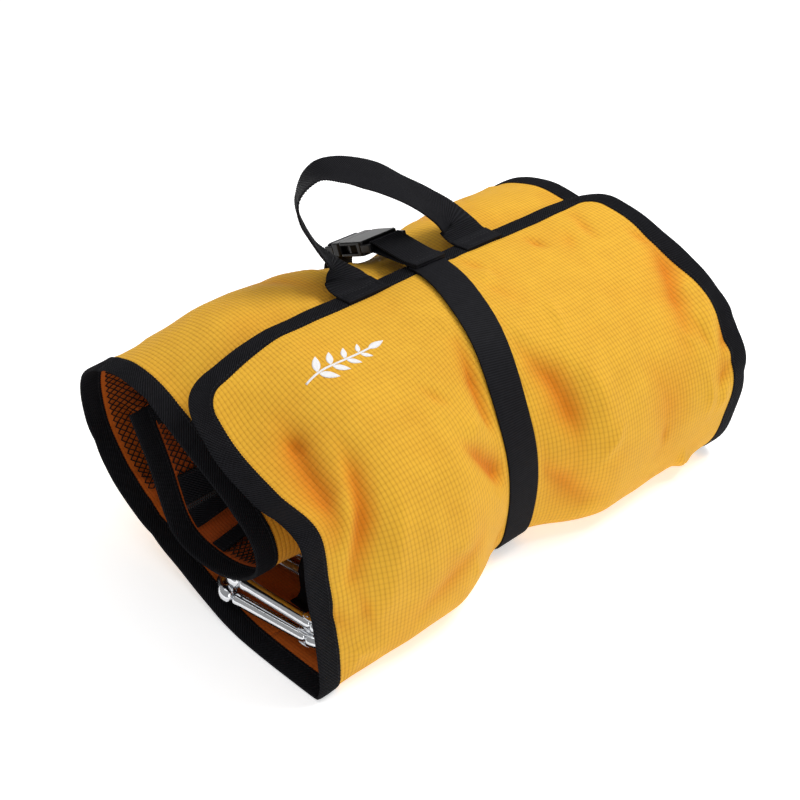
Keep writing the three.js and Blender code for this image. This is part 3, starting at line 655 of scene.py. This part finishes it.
LOOK = {
    # the last colour of each fabric is painted shade, for its folds and the inside of the roll
    "shell": fabric(
        "amber_dobby", light=(0.87, 0.49, 0.034), dark=(0.40, 0.12, 0.003), painted_shade_color=(0.76, 0.24, 0.004),
        rib_pitch=2.8, cell_pitch=3.7,
    ),
    "lining": fabric(
        "orange_lining", light=(0.62, 0.13, 0.006), dark=(0.40, 0.06, 0.002), painted_shade_color=(0.30, 0.035, 0.001),
        rib_pitch=2.2, cell_pitch=2.9,
    ),
    "tape": twill_tape("black_twill_tape"),
    "webbing": webbing("black_webbing"),
    "net": plain_grain(
        "black_net", (0.004, 0.003, 0.003), (0.016, 0.011, 0.009),
        roughness=0.6, scale=800, bump=0.05, specular=0.12,
    ),
    "thread": plain_grain(
        "black_thread", (0.006, 0.006, 0.007), (0.03, 0.03, 0.033),
        roughness=0.6, scale=1500, bump=0.05, specular=0.15,
    ),
    "coil": plain_grain(
        "black_nylon_coil", (0.004, 0.004, 0.004), (0.014, 0.014, 0.015),
        roughness=0.35, scale=1200, bump=0.03,
    ),
    "acetal": plain_grain(
        "black_acetal", (0.001, 0.001, 0.001), (0.003, 0.003, 0.004),
        roughness=0.3, scale=600, bump=0.01, specular=0.18,
    ),
    "zip_metal": plain_grain(
        "black_zip_metal", (0.02, 0.02, 0.022), (0.05, 0.05, 0.055),
        roughness=0.35, scale=700, bump=0.02, metallic=0.85,
    ),
    "steel": polished_steel("polished_alloy"),
    "print": ink("white_print"),
}


def fix(piece, body, slot, *nodes):
    """Ties a piece to a body, or for the bend between root and flap only bakes its place into its mesh, and
    hides the frame's parts it stands for.
    """
    if body == "bend":
        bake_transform(piece)
    else:
        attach(piece, body)
    if nodes:
        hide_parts(*nodes)
    return piece


# ---------------- the sheet of cloth
CLOTH_INSET = 5.0                     # the cloth's own edge lies this far inside the tape's fold
FULL_SHADE_DEPTH = 6.0                         # a fold pushed in this deep takes the full painted shade colour
SHADED_ROWS = 15.8                    # from here the cloth is under the flap and inside the roll, and takes painted shade


def flap_outline(x, inset):
    """Distance from the flap's straight edge to its rounded outline, inset."""
    radius = FLAP_CORNER - inset
    into_corner = np.maximum(radius - (HALF_LENGTH - inset - np.abs(x)), 0)
    return inset + radius - np.sqrt(np.maximum(radius ** 2 - into_corner ** 2, 0))


def sheet(name, first_row, last_row, columns, rows):
    """A piece of the cloth with its two faces: shell outside, lining inside."""
    x = np.linspace(-HALF_LENGTH + CLOTH_INSET, HALF_LENGTH - CLOTH_INSET, columns)
    start = first_row(x)
    share = np.linspace(0, 1, rows)
    row = start[:, None] + (last_row - start)[:, None] * share[None, :]
    xs = np.repeat(x[:, None], rows, axis=1)
    points, faces = slab_points(cloth(xs, row, CLOTH_HALF), cloth(xs, row, -CLOTH_HALF))
    uv = np.tile(np.stack([xs, along_of(row)], axis=-1).reshape(-1, 2), (2, 1))
    lining = [0 if max(face) < xs.size else 1 for face in faces]
    # painted shade: the deeper a fold is pushed in, the darker it is painted
    painted_fold_shade = -on_grid(PUSHED, xs, row)[..., 0] / FULL_SHADE_DEPTH
    # painted shade: the cloth under the flap and inside the roll is painted darker
    painted_roll_shade = 0.6 * smooth((row - SHADED_ROWS) / 1.8)
    painted_shade = np.tile(np.clip(painted_fold_shade + painted_roll_shade, 0, 1).ravel(), 2)
    return mesh_object(name, points, faces, [LOOK["shell"], LOOK["lining"]], uv, lining, painted_shade)


def make_cloth():
    """The cloth as two sheets, which meet on the ground."""
    def flap_edge(x):
        return row_at(x, flap_outline(x, CLOTH_INSET))

    def split(x):
        return np.full(len(x), SHEET_SPLIT)

    front = sheet("cloth_front_and_flap", flap_edge, SHEET_SPLIT, columns=201, rows=170)
    fix(front, "bend", "shell_cloth", "shell_front", "flap_panel")
    body = sheet("cloth_roll", split, END_ROW - 0.1, columns=171, rows=270)
    fix(body, "root", "shell_cloth", "shell_base", "shell_back", "shell_top", "shell_inner")


# ---------------- folded edge tape
STITCH_INSET = TAPE_WIDTH - 2.3       # the stitches lie in the tape's groove
STITCH_LENGTH = 2.4
STITCH_PITCH = 3.2
THREAD_RADIUS = 0.27
TAPE_STEP = 0.8
# The tape's upper half: inset from the fold, and out from the cloth's middle.
HALF_PROFILE = [
    (TAPE_WIDTH - 0.1, 0.50), (TAPE_WIDTH - 0.4, 1.02), (TAPE_WIDTH - 1.4, 1.22), (STITCH_INSET, 1.02),
    (STITCH_INSET - 1.1, 1.25), (8, 1.34), (4, 1.32), (2.2, 1.25), (0.7, 0.95),
]
TAPE_PROFILE = HALF_PROFILE + [(0.0, 0.0)] + [(inset, -out) for inset, out in reversed(HALF_PROFILE)]


def stitches(piece, lines, body, slot):
    """The threads of a piece, lying along lines of points."""
    parts = []
    shape = np.sqrt(1 - np.linspace(-0.96, 0.96, 5) ** 2)
    for line in lines:
        run = run_length(line)
        for start in np.arange(0.4, run[-1] - STITCH_LENGTH, STITCH_PITCH):
            at = np.linspace(start, start + STITCH_LENGTH, 5)
            points = np.stack([np.interp(at, run, line[:, k]) for k in range(3)], axis=1)
            parts.append(tube(points, THREAD_RADIUS * shape, 5))
    fix(mesh_object(f"{piece}_stitches", *merged(parts), [LOOK["thread"]]), body, slot)


def tape_piece(name, place, length, body, node):
    """A tape folded over an edge. place(station, inset) gives x and row; its inner edge is a little wavy."""
    stations = np.arange(0, length, TAPE_STEP)
    all_along = np.ones(len(stations))
    puckers = 0.10 * np.sin(stations * 2 * math.pi / STITCH_PITCH)
    rings, uv = [], []
    for inset, out in TAPE_PROFILE:
        wavy = 0.28 * np.sin(stations * 3.1) if inset > STITCH_INSET + 1 else 0.0
        pucker = np.sign(out) * puckers if 1 < inset < STITCH_INSET else 0.0
        x, row = place(stations, np.clip(inset + wavy, 0, None) * all_along)
        rings.append(cloth(x, row, out + pucker))
        uv.append(np.stack([stations, inset * np.sign(out) * all_along], axis=1))
    faces = loft_faces(len(stations), len(TAPE_PROFILE))
    made = mesh_object(name, np.stack(rings, axis=1), faces, [LOOK["tape"]], np.stack(uv, axis=1))
    fix(made, body, "edge_tape", node)
    x, row = place(stations, STITCH_INSET * all_along)
    stitches(name, [cloth(x, row, out) for out in (1.12, -1.12)], body, "edge_tape")


def make_tapes():
    """The front sheet's tape, one tape down each side of the roll, and one along its inner end."""
    start, end = along_of(SHEET_SPLIT), along_of(END_ROW)
    front_side = start - FLAP_CORNER
    half_length = front_side + CORNER_TURN + EDGE_HALF
    inner_half = HALF_LENGTH - TAPE_WIDTH + 1

    def on_front(station, inset):
        """Up the left side, round the flap's edge, down the right."""
        from_middle = station - half_length
        far = np.abs(from_middle)
        angle = np.clip((far - EDGE_HALF) / CORNER_TURN, 0, 1) * math.pi / 2
        radius = FLAP_CORNER - inset
        x = np.where(far < EDGE_HALF, far, EDGE_HALF + radius * np.sin(angle))
        x = np.where(far > EDGE_HALF + CORNER_TURN, HALF_LENGTH - inset, x)
        x = np.clip(np.sign(from_middle) * x, -HALF_LENGTH, HALF_LENGTH)
        distance = np.where(far < EDGE_HALF, inset, FLAP_CORNER - radius * np.cos(angle))
        corner_along = along_of(row_at(x, distance))
        down_side = np.clip((far - EDGE_HALF - CORNER_TURN) / front_side, 0, 1)
        return x, row_of(corner_along + (start - corner_along) * down_side)

    def on_left(station, inset):
        return inset - HALF_LENGTH, row_of(start + station)

    def on_right(station, inset):
        return HALF_LENGTH - inset, row_of(start + station)

    def on_inner_end(station, inset):
        return station - inner_half, row_of(end - inset)

    tape_piece("edge_tape_front_and_flap", on_front, 2 * half_length, "bend", "edge_tape_flap")
    tape_piece("edge_tape_left_side", on_left, end - start, "root", "edge_tape_left")
    tape_piece("edge_tape_right_side", on_right, end - start, "root", "edge_tape_right")
    tape_piece("edge_tape_inner_edge", on_inner_end, 2 * inner_half, "root", "edge_tape_inner_end")


# ---------------- where the buckle lies
BUCKLE_TILT = math.radians(-22)
SOCKET_BAR = np.array([TAB_X, 64 + SHIFT_Y, 176.5])
PLUG_BAR = SOCKET_BAR + 50.0 * np.array([0, math.cos(BUCKLE_TILT), math.sin(BUCKLE_TILT)])
BAR_WRAP = 3.6                        # the webbing's middle, from a bar's middle
STRAP_END_LEAN = math.radians(-54)    # the strap's end points down the back at this angle


def strap_end_point(down, out):
    """A place by the strap's end: down from the plug's bar, and out of the bag."""
    c, s = math.cos(STRAP_END_LEAN), math.sin(STRAP_END_LEAN)
    return PLUG_BAR + (0, c * down - s * out, s * down + c * out)


def round_bar(bar, first, last, count):
    """Points of webbing that goes round a bar, from one angle to another."""
    turn = np.linspace(first, last, count)
    return bar + BAR_WRAP * np.stack([0 * turn, np.cos(turn), np.sin(turn)], axis=1)


def flat_normals(line):
    """Normals of a line that stays at one x, turned a quarter from its direction."""
    tangent = direction(line)
    return np.stack([np.zeros(len(line)), -tangent[:, 2], tangent[:, 1]], axis=1)


# ---------------- strap
STRAP_OUT = 2.6                       # the strap's middle, from the cloth's


def strap_line(first, last):
    """The strap's middle line over the unfolded cloth, with its across and normal directions."""
    row = np.arange(first, last, 0.02)
    middle = cloth(strap_x(row), row, STRAP_OUT)
    side = cloth(strap_x(row) + 4, row, STRAP_OUT) - cloth(strap_x(row) - 4, row, STRAP_OUT)
    normal = cloth(strap_x(row), row, STRAP_OUT + 1) - middle
    return middle, square_to(direction(middle), side), unit(normal)


def make_strap():
    """The strap in two pieces: one over the flap and down the front, one under the bag and up its back."""
    front = band("strap_over_front", *strap_line(0.45, SHEET_SPLIT), STRAP_WIDTH)
    fix(front, "bend", "webbing", "strap_top", "strap_front")
    middle, across, normal = strap_line(SHEET_SPLIT, 13.9)
    # From the back it lifts to the plug's sewn end; the spline's first third lies on the strap itself.
    lift = [middle[-8], middle[-1], strap_end_point(17, -3.0), strap_end_point(7, -2.2)]
    lifted = spline_line(lift, 60)[20:]
    middle = np.concatenate([middle, lifted[1:]])
    across = np.concatenate([across, np.tile((1.0, 0, 0), (len(lifted) - 1, 1))])
    normal = np.concatenate([normal, flat_normals(lifted)[1:]])
    rear = band("strap_under_and_back", middle, across, normal, STRAP_WIDTH)
    fix(rear, "root", "webbing", "strap_under", "strap_back")


# ---------------- carry handle
# The webbing's middle line from the left foot to the right one, and the way across it.
HANDLE_LEFT = HANDLE_X - HANDLE_SPREAD
HANDLE_RIGHT = HANDLE_X + HANDLE_SPREAD
HANDLE_LINE = [
    ((HANDLE_LEFT, 26, 173.0), (1, 0, 0)),
    ((HANDLE_LEFT, 36.5, 173.6), (1, 0, 0)),
    ((-39, 45, 176.2), (0.97, 0.2, -0.1)),
    ((-41, 54, 183), (0.75, 0.55, -0.3)),
    ((-48, 60, 194), (0.55, 0.78, -0.25)),
    ((-54, 65, 208), (0.5, 0.85, -0.1)),
    ((-58, 68, 221), (0.55, 0.82, -0.1)),
    ((-57, 69, 233), (0.58, 0.78, -0.22)),
    ((-47, 68, 243), (0.4, 0.88, -0.25)),
    ((-33, 66, 244.5), (0.2, 0.93, 0.05)),
    ((-12, 65, 238.5), (0.16, 0.93, 0.33)),
    ((16, 63, 225), (0.27, 0.87, 0.42)),
    ((38, 61, 209.5), (0.37, 0.85, 0.35)),
    ((60, 57, 192), (0.62, 0.72, 0.3)),
    ((71, 50, 180), (0.92, 0.35, 0.13)),
    ((HANDLE_RIGHT, 43, 176), (1, 0, 0)),
    ((HANDLE_RIGHT, 36.5, 173.6), (1, 0, 0)),
    ((HANDLE_RIGHT, 26, 173.0), (1, 0, 0)),
]
PAD_OUT = 2.35                        # the handle's sewn feet, from the cloth's middle
ROW_LENGTH = 30                       # about how far apart two rows are near the flap's edge


def make_handle():
    """The carry handle, which bends where it leaves its sewn feet."""
    line = spline_line([at for at, _ in HANDLE_LINE], 400) + (0, SHIFT_Y, 0)
    side = spline_line([way for _, way in HANDLE_LINE], 400)
    across = square_to(direction(line), side)
    handle = band("carry_handle", line, across, np.cross(across, direction(line)), HANDLE_WIDTH)
    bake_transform(handle)
    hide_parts("handle_loop")


def sewn_foot(name, x, node):
    """The end of the handle, folded under and sewn over the flap's tape with a box of stitches."""
    row = np.arange(0.0, 0.82, 0.02)
    middle = cloth(x, row, PAD_OUT)
    normal = cloth(x, row, PAD_OUT + 1) - middle
    middle[:, 2] += 0.9 * np.clip(1 - row / 0.3, 0, 1)
    foot = band(name, middle, (1, 0, 0), normal, HANDLE_WIDTH, half=1.0)
    fix(foot, "flap", "webbing", node)
    left, right = x - HANDLE_WIDTH / 2 + 3, x + HANDLE_WIDTH / 2 - 3
    top, cross_seam, bottom = 0.14, 0.32, 0.68
    box = [(left, top), (right, top), (right, bottom), (left, bottom), (left, top)]
    seams = []
    for corners in (box, [(left, cross_seam), (right, cross_seam)]):
        line = resampled(np.array(corners) * (1, ROW_LENGTH), 1.0)
        seams.append(cloth(line[:, 0], line[:, 1] / ROW_LENGTH, PAD_OUT + 1.25))
    stitches(name, seams, "flap", "webbing")


# ---------------- buckle's tab and the strap's end
TAB_OUT = 6.1                         # the tab's upper layer, from the cloth's middle
TAB_OUT_UNDER = 4.4


def make_tab():
    """The doubled strap sewn over the flap's edge, round the socket's bar and back underneath."""
    over = cloth(TAB_X, np.array([0.78, 0.5, 0.2]), TAB_OUT)
    under = cloth(TAB_X, np.array([0.2, 0.5, 0.78]), TAB_OUT_UNDER)
    turn = round_bar(SOCKET_BAR, math.radians(108), math.radians(-112), 12)
    line = spline_line(np.concatenate([over, turn, under]), 160)
    tab = band("buckle_tab_webbing", line, (1, 0, 0), flat_normals(line), STRAP_WIDTH)
    fix(tab, "flap", "webbing", "buckle_tab")
    half = STRAP_WIDTH / 2 - 2.5
    x = np.linspace(TAB_X - half, TAB_X + half, 24)
    seams = [cloth(x, row, TAB_OUT + WEB_HALF + 0.15) for row in (0.12, 0.3, 0.62)]
    stitches("buckle_tab", seams, "flap", "webbing")


def make_strap_end():
    """The strap's end, round the plug's bar and sewn to itself behind."""
    first, last = STRAP_END_LEAN + math.radians(70), STRAP_END_LEAN + math.radians(290)
    turn = round_bar(PLUG_BAR, first, last, 14)
    line = spline_line([strap_end_point(12, 1.7), *turn, strap_end_point(12, -0.1)], 120)
    end = band("strap_end_webbing", line, (1, 0, 0), flat_normals(line), STRAP_WIDTH)
    fix(end, "plug", "webbing", "strap_end")


# ---------------- pockets on the lining
POCKET_HALF_LENGTH = HALF_LENGTH - TAPE_WIDTH - 0.3
POCKET_NEAR = 1.9                     # how far its ends stand off the cloth's middle
POCKET_SLACK = 2.9                    # how much further its middle does
NET_PITCH = (5.8, 5.0)                # of the net's openings, along X and along the cloth
STRAND_HALF = (0.58, 0.24)            # half a strand's width and thickness
# Each pocket's name, the rows where its net starts and ends, those of its edge, and the edge's name.
POCKETS = [
    ("back", 11.5, 14.5, 14.48, 14.9, "hem"),
    ("lower", 20.7, 22.13, 22.1, 22.42, "hem"),
    ("upper", 23.7, 24.62, 24.6, 24.95, "edge"),
]


def pocket_out(x):
    """Where the pockets lie: close to the lining at the side tapes, slack between them."""
    return -POCKET_NEAR - POCKET_SLACK * smooth((POCKET_HALF_LENGTH - np.abs(x)) / 28)


def net(name, first_row, last_row, node):
    """An open net of slanting strands between two rows; strands of one slant pass over the other's."""
    low, high = along_of(first_row), along_of(last_row)
    x_pitch, along_pitch = NET_PITCH
    half_width, half = STRAND_HALF
    corners = [(-half_width, -half), (half_width, -half), (half_width, half), (-half_width, half)]
    share = np.linspace(0, 1, max(int(round((high - low) / (along_pitch / 2))), 2) + 1)
    reach = (high - low) / along_pitch * x_pitch
    parts = []
    for slant in (1, -1):
        for start in np.arange(-POCKET_HALF_LENGTH - reach, POCKET_HALF_LENGTH + reach, x_pitch):
            x = start + slant * share * reach
            inside = np.abs(x) < POCKET_HALF_LENGTH
            if inside.sum() < 2:
                continue
            x, along = x[inside], (low + share * (high - low))[inside]
            wavy = 0.25 * half_width * np.cos(np.arange(len(x)) * math.pi) * slant
            sag = 1.2 * np.sin(x / 31) * np.sin(math.pi * (along - low) / (high - low))
            out = pocket_out(x) + sag + 0.18 * slant
            rings = [
                cloth(np.clip(x + w + wavy, -HALF_LENGTH, HALF_LENGTH), row_of(along), out + h)
                for w, h in corners
            ]
            parts.append((np.stack(rings, axis=1), loft_faces(len(x), 4)))
    fix(mesh_object(name, *merged(parts), [LOOK["net"]]), "root", "pocket_mesh", node)


def lining_tape(name, first_row, last_row, node, half=0.75, slot="edge_tape"):
    """A flat tape along the roll on the lining, with a row of stitches near each of its edges."""
    x = np.linspace(-POCKET_HALF_LENGTH, POCKET_HALF_LENGTH, 190)
    out = pocket_out(x) - 0.5
    low, high = along_of(first_row), along_of(last_row)
    edge = [(0, 0), (0.25, 0.8), (1, 1), (3, 0.9)]
    section = [(low + a, h) for a, h in edge] + [(high - a, h) for a, h in reversed(edge)]
    ring = section + [(along, -h) for along, h in reversed(section[1:-1])]
    points = np.stack([cloth(x, row_of(along), out - half * h) for along, h in ring], axis=1)
    under = 2 * (high - low)
    places = [along - low + (under if h < 0 else 0) for along, h in ring]
    uv = np.stack([np.stack([x, np.full(len(x), place)], axis=1) for place in places], axis=1)
    made = mesh_object(name, points, loft_faces(len(x), len(ring)), [LOOK["tape"]], uv)
    fix(made, "root", slot, node)
    seams = [cloth(x, row_of(along), out - half - 0.05) for along in (low + 1.8, high - 1.8)]
    stitches(name, seams, "root", slot)


def make_pockets():
    """The three net pockets, each with a tape along its open edge."""
    for name, first, last, edge_first, edge_last, edge in POCKETS:
        net(f"net_pocket_{name}", first, last, f"mesh_pocket_{name}")
        lining_tape(f"net_pocket_{name}_{edge}", edge_first, edge_last, f"pocket_{edge}_{name}")


# ---------------- zip
COIL_ROW = 23.28
COIL_PITCH = 1.5
COIL_WIRE = 0.36                      # the radius of the coils' wire


def make_zip():
    """Two tapes, and between them the two coils that mesh."""
    lining_tape("zip_tape_below_coil", 22.86, COIL_ROW - 0.025, "zip_tape_lower", half=0.5, slot="zip")
    lining_tape("zip_tape_above_coil", COIL_ROW + 0.025, 23.72, "zip_tape_upper", half=0.5, slot="zip")
    x = np.arange(-POCKET_HALF_LENGTH, POCKET_HALF_LENGTH, COIL_PITCH / 8)
    parts = []
    for side, phase in ((1, 0), (-1, math.pi)):
        turn = 2 * math.pi * x / COIL_PITCH + phase
        along = along_of(COIL_ROW) + side * 0.75 + 1.25 * np.cos(turn)
        line = cloth(x, row_of(along), pocket_out(x) - 0.8 + 0.75 * np.sin(turn))
        parts.append(tube(line, COIL_WIRE, 5))
    fix(mesh_object("zip_coil_teeth", *merged(parts), [LOOK["coil"]]), "root", "zip", "zip_coil")


# ---------------- print on the flap
def make_print():
    """A plain sprig of leaves, pressed on the flap."""
    middle_x, middle_along = -99.0, along_of(2.07)
    tilt = math.radians(-6)

    def place(a, b, out):
        """A place in the print's own frame: on the flap, and on the cloth."""
        x = middle_x + a * math.cos(tilt) - b * math.sin(tilt)
        along = middle_along + a * math.sin(tilt) + b * math.cos(tilt)
        return cloth(x, row_of(along), out), np.stack([x, along], axis=-1)

    def leaf(foot, angle, length, width):
        share, side = np.meshgrid(np.linspace(0, 1, 11), np.linspace(-1, 1, 5), indexing="ij")
        reach = 0.5 * width * np.sin(math.pi * share ** 0.8) ** 0.9
        a = foot[0] + math.cos(angle) * length * share - math.sin(angle) * side * reach
        b = foot[1] + math.sin(angle) * length * share + math.cos(angle) * side * reach
        top, uv = place(a, b, CLOTH_HALF + 0.28)
        bottom, _ = place(a, b, CLOTH_HALF - 0.1)
        points, faces = slab_points(top, bottom)
        return points, faces, np.tile(uv.reshape(-1, 2), (2, 1))

    def stem_at(a):
        return 2.6 * np.sin(a / 15)

    parts = []
    for a in (-20, -9, 2, 13):
        for side in (1, -1):
            size = 1 - 0.012 * (a + 20)
            foot = (a, stem_at(a) + side)
            parts.append(leaf(foot, side * math.radians(50), 13 * size, 5.4 * size))
    parts.append(leaf((21, stem_at(21)), math.radians(4), 13, 5))
    a = np.linspace(-31, 22, 40)
    b = stem_at(a)
    corners = ((-0.75, 0.3), (-0.75, 0.7), (0.75, 0.7), (0.75, 0.3))
    stem = np.stack([place(a, b + w, out)[0] for w, out in corners], axis=1)
    stem_uv = np.stack([place(a, b, 0)[1]] * 4, axis=1)
    parts.append((stem, loft_faces(len(a), 4), stem_uv.reshape(-1, 2)))
    points, faces = merged([part[:2] for part in parts])
    uv = np.concatenate([part[2] for part in parts])
    fix(mesh_object("leaf_print", points, faces, [LOOK["print"]], uv), "flap", "shell_cloth")


# ---------------- carabiners and their loop
ROD_RADIUS = 5.0
GATE_RADIUS = 4.2
OVAL_HALF_LENGTH = 52.0
OVAL_HALF_WIDTH = 23.0
OVAL_CORNER = 19.0
GATE_HINGE = -28.0
GATE_TIP = 30.0
CHEEK_SIZE = (7.0, 3.1)               # half the length and width of the flats beside the hinge
CHEEK_RINGS = [(4.35, 0.96), (4.6, 1.0), (5.3, 1.0), (5.55, 0.90)]    # height and relative size
ROUND_SIDES = 28
# Each carabiner's name, the middle of its oval, and its turn about the upright.
CARABINERS = [("lower", (-162.5, -41, 15.2), 10), ("upper", (-158.5, -45, 27.2), 7)]


def oval_line():
    """The rod's middle line, from beside the gate's hinge, round the spine, to the nose."""
    cx, cy = OVAL_HALF_LENGTH - OVAL_CORNER, OVAL_HALF_WIDTH - OVAL_CORNER

    def corner(x, y, start):
        turn = start - np.linspace(0, math.pi / 2, 14)
        return np.stack([x + OVAL_CORNER * np.cos(turn), y + OVAL_CORNER * np.sin(turn), 0 * turn], axis=1)

    return np.concatenate([
        [(GATE_HINGE - GATE_RADIUS - 0.4, -OVAL_HALF_WIDTH, 0)],
        corner(-cx, -cy, -math.pi / 2), corner(-cx, cy, math.pi),
        corner(cx, cy, math.pi / 2), corner(cx, -cy, 0),
        [(GATE_TIP + 1.0, -OVAL_HALF_WIDTH, 0)],
    ])


def rod():
    """The oval's rod, whose nose swells before the gap."""
    line = resampled(oval_line(), 1.2)
    run = run_length(line)
    from_nose = run[-1] - run
    radius = ROD_RADIUS + 1.6 * np.exp(-((from_nose - 6.5) / 5.5) ** 2)
    radius = np.where(from_nose < 1.6, radius * (0.55 + 0.28 * from_nose), radius)
    radius[0] *= 0.8
    return tube(line, radius, ROUND_SIDES)


def cheek(side):
    """The flat beside the gate's hinge, where the rivet goes through the rod."""
    turn = np.linspace(0, 2 * math.pi, 24, endpoint=False)
    rings = []
    for z, size in CHEEK_RINGS:
        x = GATE_HINGE - 3 + size * CHEEK_SIZE[0] * np.cos(turn)
        y = -OVAL_HALF_WIDTH + size * CHEEK_SIZE[1] * np.sin(turn)
        rings.append(np.stack([x, y, np.full(24, side * z)], axis=1))
    return np.stack(rings), loft_faces(len(rings), 24)


def turned(profile):
    """A profile turned about the local x axis: a list of (x, radius)."""
    x, radius = np.array(profile, float).T[:, :, None]
    turn = np.linspace(0, 2 * math.pi, ROUND_SIDES, endpoint=False)
    rings = np.stack([x + 0 * turn, radius * np.cos(turn), radius * np.sin(turn)], axis=-1)
    return rings, loft_faces(len(profile), ROUND_SIDES)


def gate():
    """The gate's tube, from its rounded hinge end to the nose."""
    hinge, tip = GATE_HINGE, GATE_TIP
    rings, faces = turned([
        (hinge - 3.9, 0.8), (hinge - 3.6, 2.4), (hinge - 2.2, 3.6), (hinge, 4.1), (hinge + 3, GATE_RADIUS),
        (tip - 7, GATE_RADIUS), (tip - 3, 4.7), (tip - 1.2, 4.8), (tip - 0.3, 4.5), (tip, 3.8),
    ])
    return rings - (0, OVAL_HALF_WIDTH, 0), faces


def rivet():
    """The hinge's pin, with a low round head on each side."""
    rings, faces = turned([(-5.95, 0.6), (-5.85, 1.3), (-5.5, 1.55), (5.5, 1.55), (5.85, 1.3), (5.95, 0.6)])
    return rings[:, :, [1, 2, 0]] + (GATE_HINGE, -OVAL_HALF_WIDTH, 0), faces


def make_carabiner(name, at, turn):
    angle = math.radians(turn)
    along = (-math.sin(angle), math.cos(angle), 0)
    inwards = (math.cos(angle), math.sin(angle), 0)
    axes = np.array([along, inwards, (0, 0, -1)])
    origin = np.array(at, float) + (0, SHIFT_Y, 0)
    body = f"carabiner_{name}"
    for part, shapes, moves_with, node in (
        ("oval", [rod(), cheek(1), cheek(-1)], body, "frame"),
        ("gate_tube", [gate()], f"gate_{name}", "gate"),
        ("rivet_pin", [rivet()], body, "rivet"),
    ):
        points, faces = merged(shapes)
        made = mesh_object(f"{body}_{part}", points @ axes + origin, faces, [LOOK["steel"]])
        fix(made, moves_with, "carabiner", f"{body}_{node}")


def make_gear_loop():
    """A webbing arch over both carabiners' spines, its feet sewn to the lining."""
    x, y = -138.5, -39 + SHIFT_Y
    low, crown, half = 3.4, 36.0, 10.3
    rising = [(-half - 9, low), (-half - 3, low), (-half, low + 4), (-half, crown - 8), (-half + 5, crown)]
    knots = rising + [(-a, z) for a, z in reversed(rising)]
    line = spline_line([(x + a, y, z) for a, z in knots], 200)
    across = (0, 1, 0)
    made = band("gear_loop_webbing", line, across, np.cross(direction(line), across), LOOP_WIDTH)
    fix(made, "root", "webbing", "gear_loop")


# ---------------- pieces taken straight from the frame
def dress_cad_nodes(names, look, edge_width):
    """Gives the frame's own pieces their material and rounded edges."""
    for name in names:
        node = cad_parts[name]
        node.data.materials.clear()
        node.data.materials.append(LOOK[look])
        bevel = node.modifiers.new("rounded_edges", "BEVEL")
        bevel.width = edge_width * MM
        bevel.segments = 3
        bevel.limit_method = "ANGLE"
        bevel.angle_limit = math.radians(35)


# ---------------- floor, light and camera
def make_floor():
    """A wide pale floor."""
    material, tree, shader = new_material("pale_floor", 0.9, specular=0.2)
    tree.links.new(mix_color(tree, noise(tree, 8), (0.90, 0.90, 0.90), (0.93, 0.93, 0.93)),
                   shader.inputs["Base Color"])
    shader.inputs["Emission Color"].default_value = (1, 1, 1, 1)
    shader.inputs["Emission Strength"].default_value = 0.5
    size = 6000
    corners = [(-size, -size, 0), (size, -size, 0), (size, size, 0), (-size, size, 0)]
    floor = mesh_object("floor", np.array(corners, float), [[0, 1, 2, 3]], [material])


def area_light(name, at, target, size, power):
    data = bpy.data.lights.new(name, "AREA")
    data.shape = "SQUARE"
    data.size = size
    data.energy = power
    light = bpy.data.objects.new(name, data)
    light.location = at
    light.rotation_euler = (Vector(target) - Vector(at)).to_track_quat("-Z", "Y").to_euler()
    bpy.context.scene.collection.objects.link(light)


def make_light():
    """Three soft boxes and a pale world."""
    bpy.context.scene.view_settings.view_transform = "Standard"
    world = bpy.context.scene.world or bpy.data.worlds.new("studio")
    bpy.context.scene.world = world
    world.use_nodes = True
    background = world.node_tree.nodes["Background"]
    background.inputs["Color"].default_value = (1, 1, 1, 1)
    background.inputs["Strength"].default_value = 0.34
    middle = (0, 0, 0.08)
    area_light("key_softbox", (0.75, -0.35, 1.35), middle, 0.7, 15.5)
    area_light("top_softbox", (-0.2, 0.5, 1.4), middle, 1.2, 7)
    area_light("front_fill", (-0.9, -1.4, 0.7), middle, 1.0, 5.5)


CAMERA_DISTANCE = 0.930               # metres, from the middle of the bag


def make_camera():
    """Looks along the roll's left front, from above, as a product picture is taken."""
    azimuth, elevation = math.radians(43), math.radians(33.5)
    look = Vector((math.sin(azimuth) * math.cos(elevation), math.cos(azimuth) * math.cos(elevation),
                   -math.sin(elevation)))
    target = Vector((-0.0166, 0.0099, 0.080))
    data = bpy.data.cameras.new("camera")
    data.angle = math.radians(34.5)
    data.clip_start = 0.01
    camera = bpy.data.objects.new("camera", data)
    camera.location = target - CAMERA_DISTANCE * look
    camera.rotation_euler = look.to_track_quat("-Z", "Y").to_euler()
    bpy.context.scene.collection.objects.link(camera)
    bpy.context.scene.camera = camera


make_camera()
make_light()
make_floor()
make_cloth()
make_tapes()
make_strap()
make_handle()
sewn_foot("handle_foot_left", HANDLE_LEFT, "handle_pad_left")
sewn_foot("handle_foot_right", HANDLE_RIGHT, "handle_pad_right")
make_tab()
make_strap_end()
make_pockets()
make_zip()
make_print()
for carabiner in CARABINERS:
    make_carabiner(*carabiner)
make_gear_loop()
dress_cad_nodes(("buckle_socket", "buckle_plug", "buckle_prong_left", "buckle_prong_right"), "acetal", 0.7)
dress_cad_nodes(("zip_slider", "zip_pull"), "zip_metal", 0.25)
